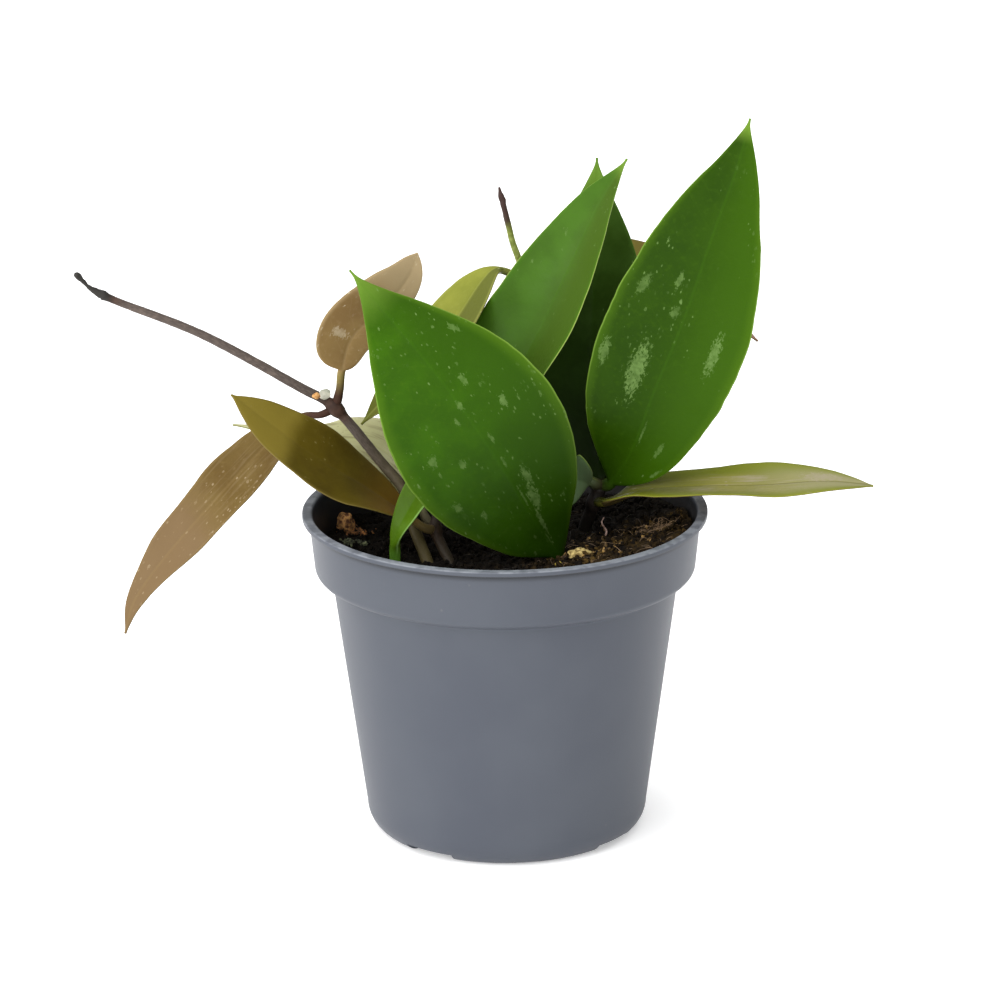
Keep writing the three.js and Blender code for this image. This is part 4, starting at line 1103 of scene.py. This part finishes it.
leaf(
    "yellow_blade", "yellow_leaf", seed=11,
    look={**YELLOW_LOOK, "half_colour": ("#585d23", 0.1, -0.15), "tip": ("#50541a", 0.62, 0.85)},
    path=[[5.5, 40, 156], [1.5, 38, 160], [-2.5, 36, 161], [-6.5, 33, 158], [-15, 27, 147],
          [-28, 21, 133.5], [-42.5, 16, 119.5]],
    clear=3.8, stalk=8, stalk_radius=1.1, half=(12.6, 13.6), full=(0.89, 1.17),
    face=([-0.4, -0.2, 0.8], [-0.6, -0.5, 0.5]), roll=(-1, 0), fold=8, waves=1)
leaf(
    "back_blade", "hidden_leaf", seed=13,
    look={**OLIVE_LOOK, "skin": "#6c6428", "deep": "#5f5624", "edge": "#6f5638",
          "tip": ("#86695c", 0.82, 0.95)},
    path=[[5.5, 40, 156], [11, 43, 158.5], [24.5, 46, 162], [41, 46, 160.5], [59, 43, 151], [76.5, 38, 138]],
    clear=2.8, stalk=8, stalk_radius=1.1, half=(11.1, 10.8), full=(0.67, 0.97),
    face=([0, -0.3, 1], [0.3, -0.4, 0.9]), roll=(-1, -3), fold=8, waves=2)

# The right stem is a short thick spur with two nodes close together, its bark painted near black for
# the shade it stands in. It is rooted in the mix where that is piled up.
# Painted shade: the spur's bark is near black for the shade it stands in under the leaves
shaded_spur_bark = bark_skin("shaded_spur_bark", "#120e0c", "#1f1a16", ("#14100d", "#231c18"), "#0f0d09")
vine_stem(
    "right_spur", "right_stem",
    path=[[23, 13, 77], [23.5, 13, 86], [25.5, 10.5, 93], [26.7, 9, 97], [28.5, 9.5, 102.5]],
    radius=(2, 1.9), end=(0.5, 0, 1.7), seed=63, material=shaded_spur_bark,
    knots=[([26.7, 9, 97], 2.5), ([28.4, 9.4, 101.5], 2.5)])

# The right stem's four leaves: three tall ones of a deep glossy green, flecked with silver, and the low
# olive one that lies out over the pot's lip. All grow from the spur on short dark stalks.
GREEN_LOOK = {
    "skin": "#2c5202", "deep": "#244702", "light": "#3a640a", "rib": "#3b6610", "rib_share": 0.1,
    "edge": "#698632", "fleck": "#5f7a40", "flecks": 0.55, "under": "#4f6d30", "under_deep": "#46602b",
    "stalk": "#2b211f", "stalk_pale": "#33301f", "rough": 0.36, "tip": ("#5f7d28", 0.93, 1.0),
    "veins": 0.05,
}
TALL_LEAF_PATCHES = [
    (-0.34, 0.32, 0.14, 0.085, 1.0), (0.58, 0.425, 0.09, 0.06, 0.9), (-0.85, 0.336, 0.08, 0.04, 0.8),
    (0.06, 0.169, 0.03, 0.035, 0.6), (0.51, 0.146, 0.06, 0.025, 0.7), (0.85, 0.094, 0.06, 0.015, 0.7),
    (-0.7, 0.536, 0.09, 0.035, 0.6), (-0.25, 0.569, 0.06, 0.03, 0.7), (-0.14, 0.491, 0.08, 0.02, 0.6),
]
# The pale base stands partly for the paler lower face, where the base curls over, and partly for a painted
# sheen
leaf(
    "middle_blade", "middle_leaf", seed=15,
    look={**GREEN_LOOK, "skin": "#3d5f19", "deep": "#375616", "half_colour": ("#385011", -0.4, 0.4),
          "flecks": 0.15, "base": ("#6c855f", 0.05, 0.16), "edge": "#8a9a4c", "stalk_end": -0.03},
    path=[[28.5, 9.5, 101.5], [25.5, 7, 104], [15.5, 7, 108.5], [7.5, 9, 121.5], [5.5, 12, 136.5],
          [13, 14, 153], [21, 15, 170.5], [28.5, 15, 187], [36.5, 14, 200.5]],
    clear=3, stalk=5, stalk_radius=1.5, half=(21.1, 21.2), full=(0.52, 1.01),
    face=([-0.5, -0.8, 0.5], [-0.75, -0.6, 0.25]), roll=(-43, 27), fold=22, waves=1)
# Painted shade: near black low down, where the leaf stands in shade behind the others, lighter higher up
leaf(
    "dark_blade", "dark_leaf", seed=17,
    look={**GREEN_LOOK, "skin": "#3b571d", "deep": "#324b15", "light": "#466620", "flecks": 0.05,
          "edge": "#4a6a26", "tip": ("#5a7a28", 0.84, 0.95), "shade": (0.2, 0.95)},
    path=[[28.5, 9.5, 101.5], [29, 15, 102.5], [27.5, 23, 115], [26.5, 28, 132.5], [27, 30, 153.5],
          [28, 30, 175], [28, 28, 197.5]],
    clear=3, stalk=5, stalk_radius=1.5, half=(20.2, 20.3), full=(0.69, 1.08),
    face=([-0.2, -1, 0.2], [-0.4, -0.9, 0.2]), roll=(-1, 5), fold=8, waves=2)
# Painted shade: a little darker towards the stalk, which the leaves above shade
leaf(
    "tall_right_blade", "right_leaf", seed=19,
    look={**GREEN_LOOK, "skin": "#243f02", "deep": "#203a02", "light": "#40600c", "margin_from": 0.82,
          "half_colour": ("#2d4c03", -0.6, 0.95), "flecks": 0.35,
          "patches": TALL_LEAF_PATCHES, "shade": (0.95, 0.4)},
    path=[[28.5, 9.5, 101.5], [32, 7.5, 104], [38, 2, 116], [44, 0, 133.5], [52.5, 0, 155], [61.5, 1, 182],
          [68, 3, 200], [72, 5, 214.5]],
    clear=3, stalk=4.5, stalk_radius=1.6, half=(22.3, 21.2), full=(0.75, 1.05),
    face=([-0.1, -1, 0.3], [0, -1, 0.2]), roll=(3, 0), fold=6, waves=2)
# Painted shade: dark near the spur, where the leaf starts in the shade under the others
leaf(
    "low_right_blade", "low_right_leaf", seed=21,
    look={**OLIVE_LOOK, "skin": "#7b7739", "deep": "#716f31", "light": "#6a701c", "fleck": "#94897a",
          "edge": "#767a28", "rib": "#54521c", "rib_share": 0.5, "margin_from": 0.4, "margin_share": 0.85,
          "shade": (0.2, 0.14), "half_colour": ("#5a6208", -0.3, -0.75),
          "patches": [(-0.3, 0.55, 0.2, 0.08, 0.25), (-0.3, 0.82, 0.35, 0.09, 0.6)],
          "base": ("#4d500c", 0.2, 0.5), "tip": ("#85825c", 0.4, 0.9), "streaks": 0.6, "flecks": 0.2,
          "stalk": "#17150b", "stalk_pale": "#2a2c0c"},
    path=[[26.7, 9, 97], [31, 3, 99], [40.5, 0, 103], [58, -3, 105], [76, -5, 105.8], [93.5, -6, 107.1],
          [108.5, -6, 106]],
    clear=3, stalk=6, stalk_radius=1.3, half=(14.4, 13.9), full=(0.61, 0.74),
    face=([0, -0.1, 1], [0, -0.1, 1]), roll=(-11, 4), fold=8, waves=2)

# Two leaves that come straight out of the mix, from a stem below it: the big deep green one in front,
# flecked and patched with silver, and the narrow light green one beside it, with a painted highlight along
# its right edge.
FRONT_LEAF_PATCHES = [
    (0.235, 0.27, 0.07, 0.035, 0.9), (0.2, 0.205, 0.1, 0.05, 1.0), (0.14, 0.13, 0.07, 0.055, 1.0),
    (0.06, 0.07, 0.035, 0.035, 0.7), (0.05, 0.22, 0.02, 0.045, 0.6), (0.09, 0.41, 0.03, 0.016, 0.7),
    (0.06, 0.335, 0.02, 0.02, 0.6), (0.75, 0.709, 0.07, 0.02, 0.6), (0.23, 0.584, 0.05, 0.022, 0.7),
    (0.45, 0.479, 0.055, 0.02, 0.9), (0, 0.531, 0.04, 0.018, 0.7), (-0.14, 0.499, 0.03, 0.014, 0.7),
    (-0.62, 0.446, 0.07, 0.02, 0.7), (-0.35, 0.394, 0.05, 0.015, 0.7), (-0.72, 0.3, 0.06, 0.02, 0.7),
]
# Painted shade: the half_colour darkens the right side, away from the light at the upper left, and the shade
# darkens the blade towards its foot, which the leaves above shade
leaf(
    "front_blade", "front_leaf", seed=23,
    look={**GREEN_LOOK, "skin": "#2f5402", "deep": "#294b02", "half_colour": ("#274602", -0.5, 0.9),
          "light": "#45650f", "margin_from": 0.8, "tip": ("#5f7d2a", 0.83, 1.0),
          "patches": FRONT_LEAF_PATCHES, "shade": (0.25, 0.6)},
    path=[[16, -4, 76], [15.5, -7, 85.5], [9, -11, 97], [-0.5, -13, 114], [-13, -13, 134],
          [-28.5, -11, 154.5], [-44.5, -8, 173.5]],
    clear=0, stalk=9, stalk_radius=1.8, half=(26.6, 25.5), full=(1.07, 1.38),
    face=([0.1, -1, 0.2], [0, -1, 0.2]), roll=(1, 1), fold=6, waves=2)
# Painted highlight: the half_colour lightens a thin band along the right edge, where the rolled margin
# catches the light
leaf(
    "low_blade", "low_leaf", seed=25,
    look={**GREEN_LOOK, "skin": "#466510", "deep": "#3f5b0c", "light": "#577a24", "edge": "#8aae62",
          "flecks": 0.05, "half_colour": ("#7ea556", 0.86, 0.97), "under": "#466510",
          "under_deep": "#3f5b0c", "stalk": "#5f8f2c", "stalk_pale": "#5c8a2c"},
    path=[[-32.5, -7, 77], [-32.5, -8.5, 84.5], [-32, -12, 93], [-28.5, -11.9, 100.5], [-23.5, -10, 108.5],
          [-16, -8, 119], [-7.5, -6, 129]],
    clear=0, stalk=14, stalk_radius=1.6, half=(6.2, 6.2), full=(0.8, 0.52),
    face=([-0.6, -1, 0.3], [-0.6, -1, 0.3]), roll=(-14, -15), fold=12, waves=1)

# The floor: a plain sheet of white acrylic that the pot stands on, wide enough to fill the view. It glows
# faintly, as over a light table.
FLOOR_HALF = 4000


def lit_acrylic():
    """Matt white acrylic over a light table, which washes the shadows out."""
    material, tree = start_material("lit_acrylic")
    cloud = add(tree, "TexNoise", add(tree, "TexCoord", output="Object"), Scale=2)
    colour = add(tree, "Mix", cloud, linear("#f4f4f4"), linear("#fbfbfb"))
    shader = add(
        tree, "BsdfPrincipled", Base_Color=colour, Roughness=0.9,
        Emission_Color=linear("#ffffff"), Emission_Strength=0.3)
    add(tree, "OutputMaterial", shader)
    return material


corners = [[-FLOOR_HALF, -FLOOR_HALF, 0], [FLOOR_HALF, -FLOOR_HALF, 0],
           [FLOOR_HALF, FLOOR_HALF, 0], [-FLOOR_HALF, FLOOR_HALF, 0]]
floor = mesh_piece("floor", corners, [[0, 1, 2, 3]], lit_acrylic())

# The light: a wide soft panel overhead, soft windows at the left and in front, and a dim white room
# that fills the shadows.
PLANT_MIDDLE = np.array([0, 0, 0.1])
SKY_FROM = (-0.55, -0.35, 1.0)
SKY_POWER = 4.2
SKY_SPREAD = math.radians(120)
ROOM_POWER = 0.35


def look_frame(away):
    """Rotation whose local Z points away from the target and whose X is level."""
    back = unit(np.array(away, float))
    right = unit(np.cross([0, 0, 1.0], back))
    return np.stack([right, np.cross(back, right), back], 1).tolist()


def add_object(name, data, rotation, place=(0, 0, 0)):
    """Puts a lamp or a camera into the scene, turned by a rotation matrix, with its place in metres."""
    thing = bpy.data.objects.new(name, data)
    thing.matrix_world = Matrix.Translation(place) @ Matrix(rotation).to_4x4()
    bpy.context.scene.collection.objects.link(thing)
    return thing


def soft_window(name, place, size, power):
    """A square soft light that looks at the plant's middle. Place and size are in metres."""
    light = bpy.data.lights.new(name, "AREA")
    light.size = size
    light.energy = power
    add_object(name, light, look_frame(np.array(place) - PLANT_MIDDLE), place)


sky = bpy.data.lights.new("sky_panel", "SUN")
sky.energy = SKY_POWER
sky.angle = SKY_SPREAD
add_object("sky_panel", sky, look_frame(SKY_FROM))
soft_window("left_window", (-1.3, -1.1, 0.7), 0.9, 12)
soft_window("front_fill", (0.8, -1.5, 0.6), 1.2, 8)
world = bpy.data.worlds.new("studio")
world.use_nodes = True
background = world.node_tree.nodes["Background"].inputs
background["Color"].default_value = linear("#ffffff")
background["Strength"].default_value = ROOM_POWER
bpy.context.scene.world = world
bpy.context.scene.view_settings.view_transform = "Standard"

# The camera: a long lens that looks down on the pot from 1.5 m, as the photograph was taken. It is
# turned by half a degree about its own line of sight.
CAMERA_FAR = 1500
CAMERA_DOWN = math.radians(17.66)
CAMERA_ROLL = math.radians(-0.455)
CAMERA_LENS = 182.64
CAMERA_SENSOR = 36
CAMERA_CLIP = 20
CAMERA_TARGET = np.array([-1.405, 0, 100.822])

camera_data = bpy.data.cameras.new("camera")
camera_data.lens = CAMERA_LENS
camera_data.sensor_width = CAMERA_SENSOR
camera_data.sensor_fit = "HORIZONTAL"
camera_data.clip_end = CAMERA_CLIP
camera_back = np.array([0, -math.cos(CAMERA_DOWN), math.sin(CAMERA_DOWN)])
camera_place = (CAMERA_TARGET + CAMERA_FAR * camera_back) * MM
camera_turn = Matrix(look_frame(camera_back)) @ Matrix.Rotation(CAMERA_ROLL, 3, "Z")
camera = add_object("camera", camera_data, camera_turn, camera_place.tolist())
bpy.context.scene.camera = camera
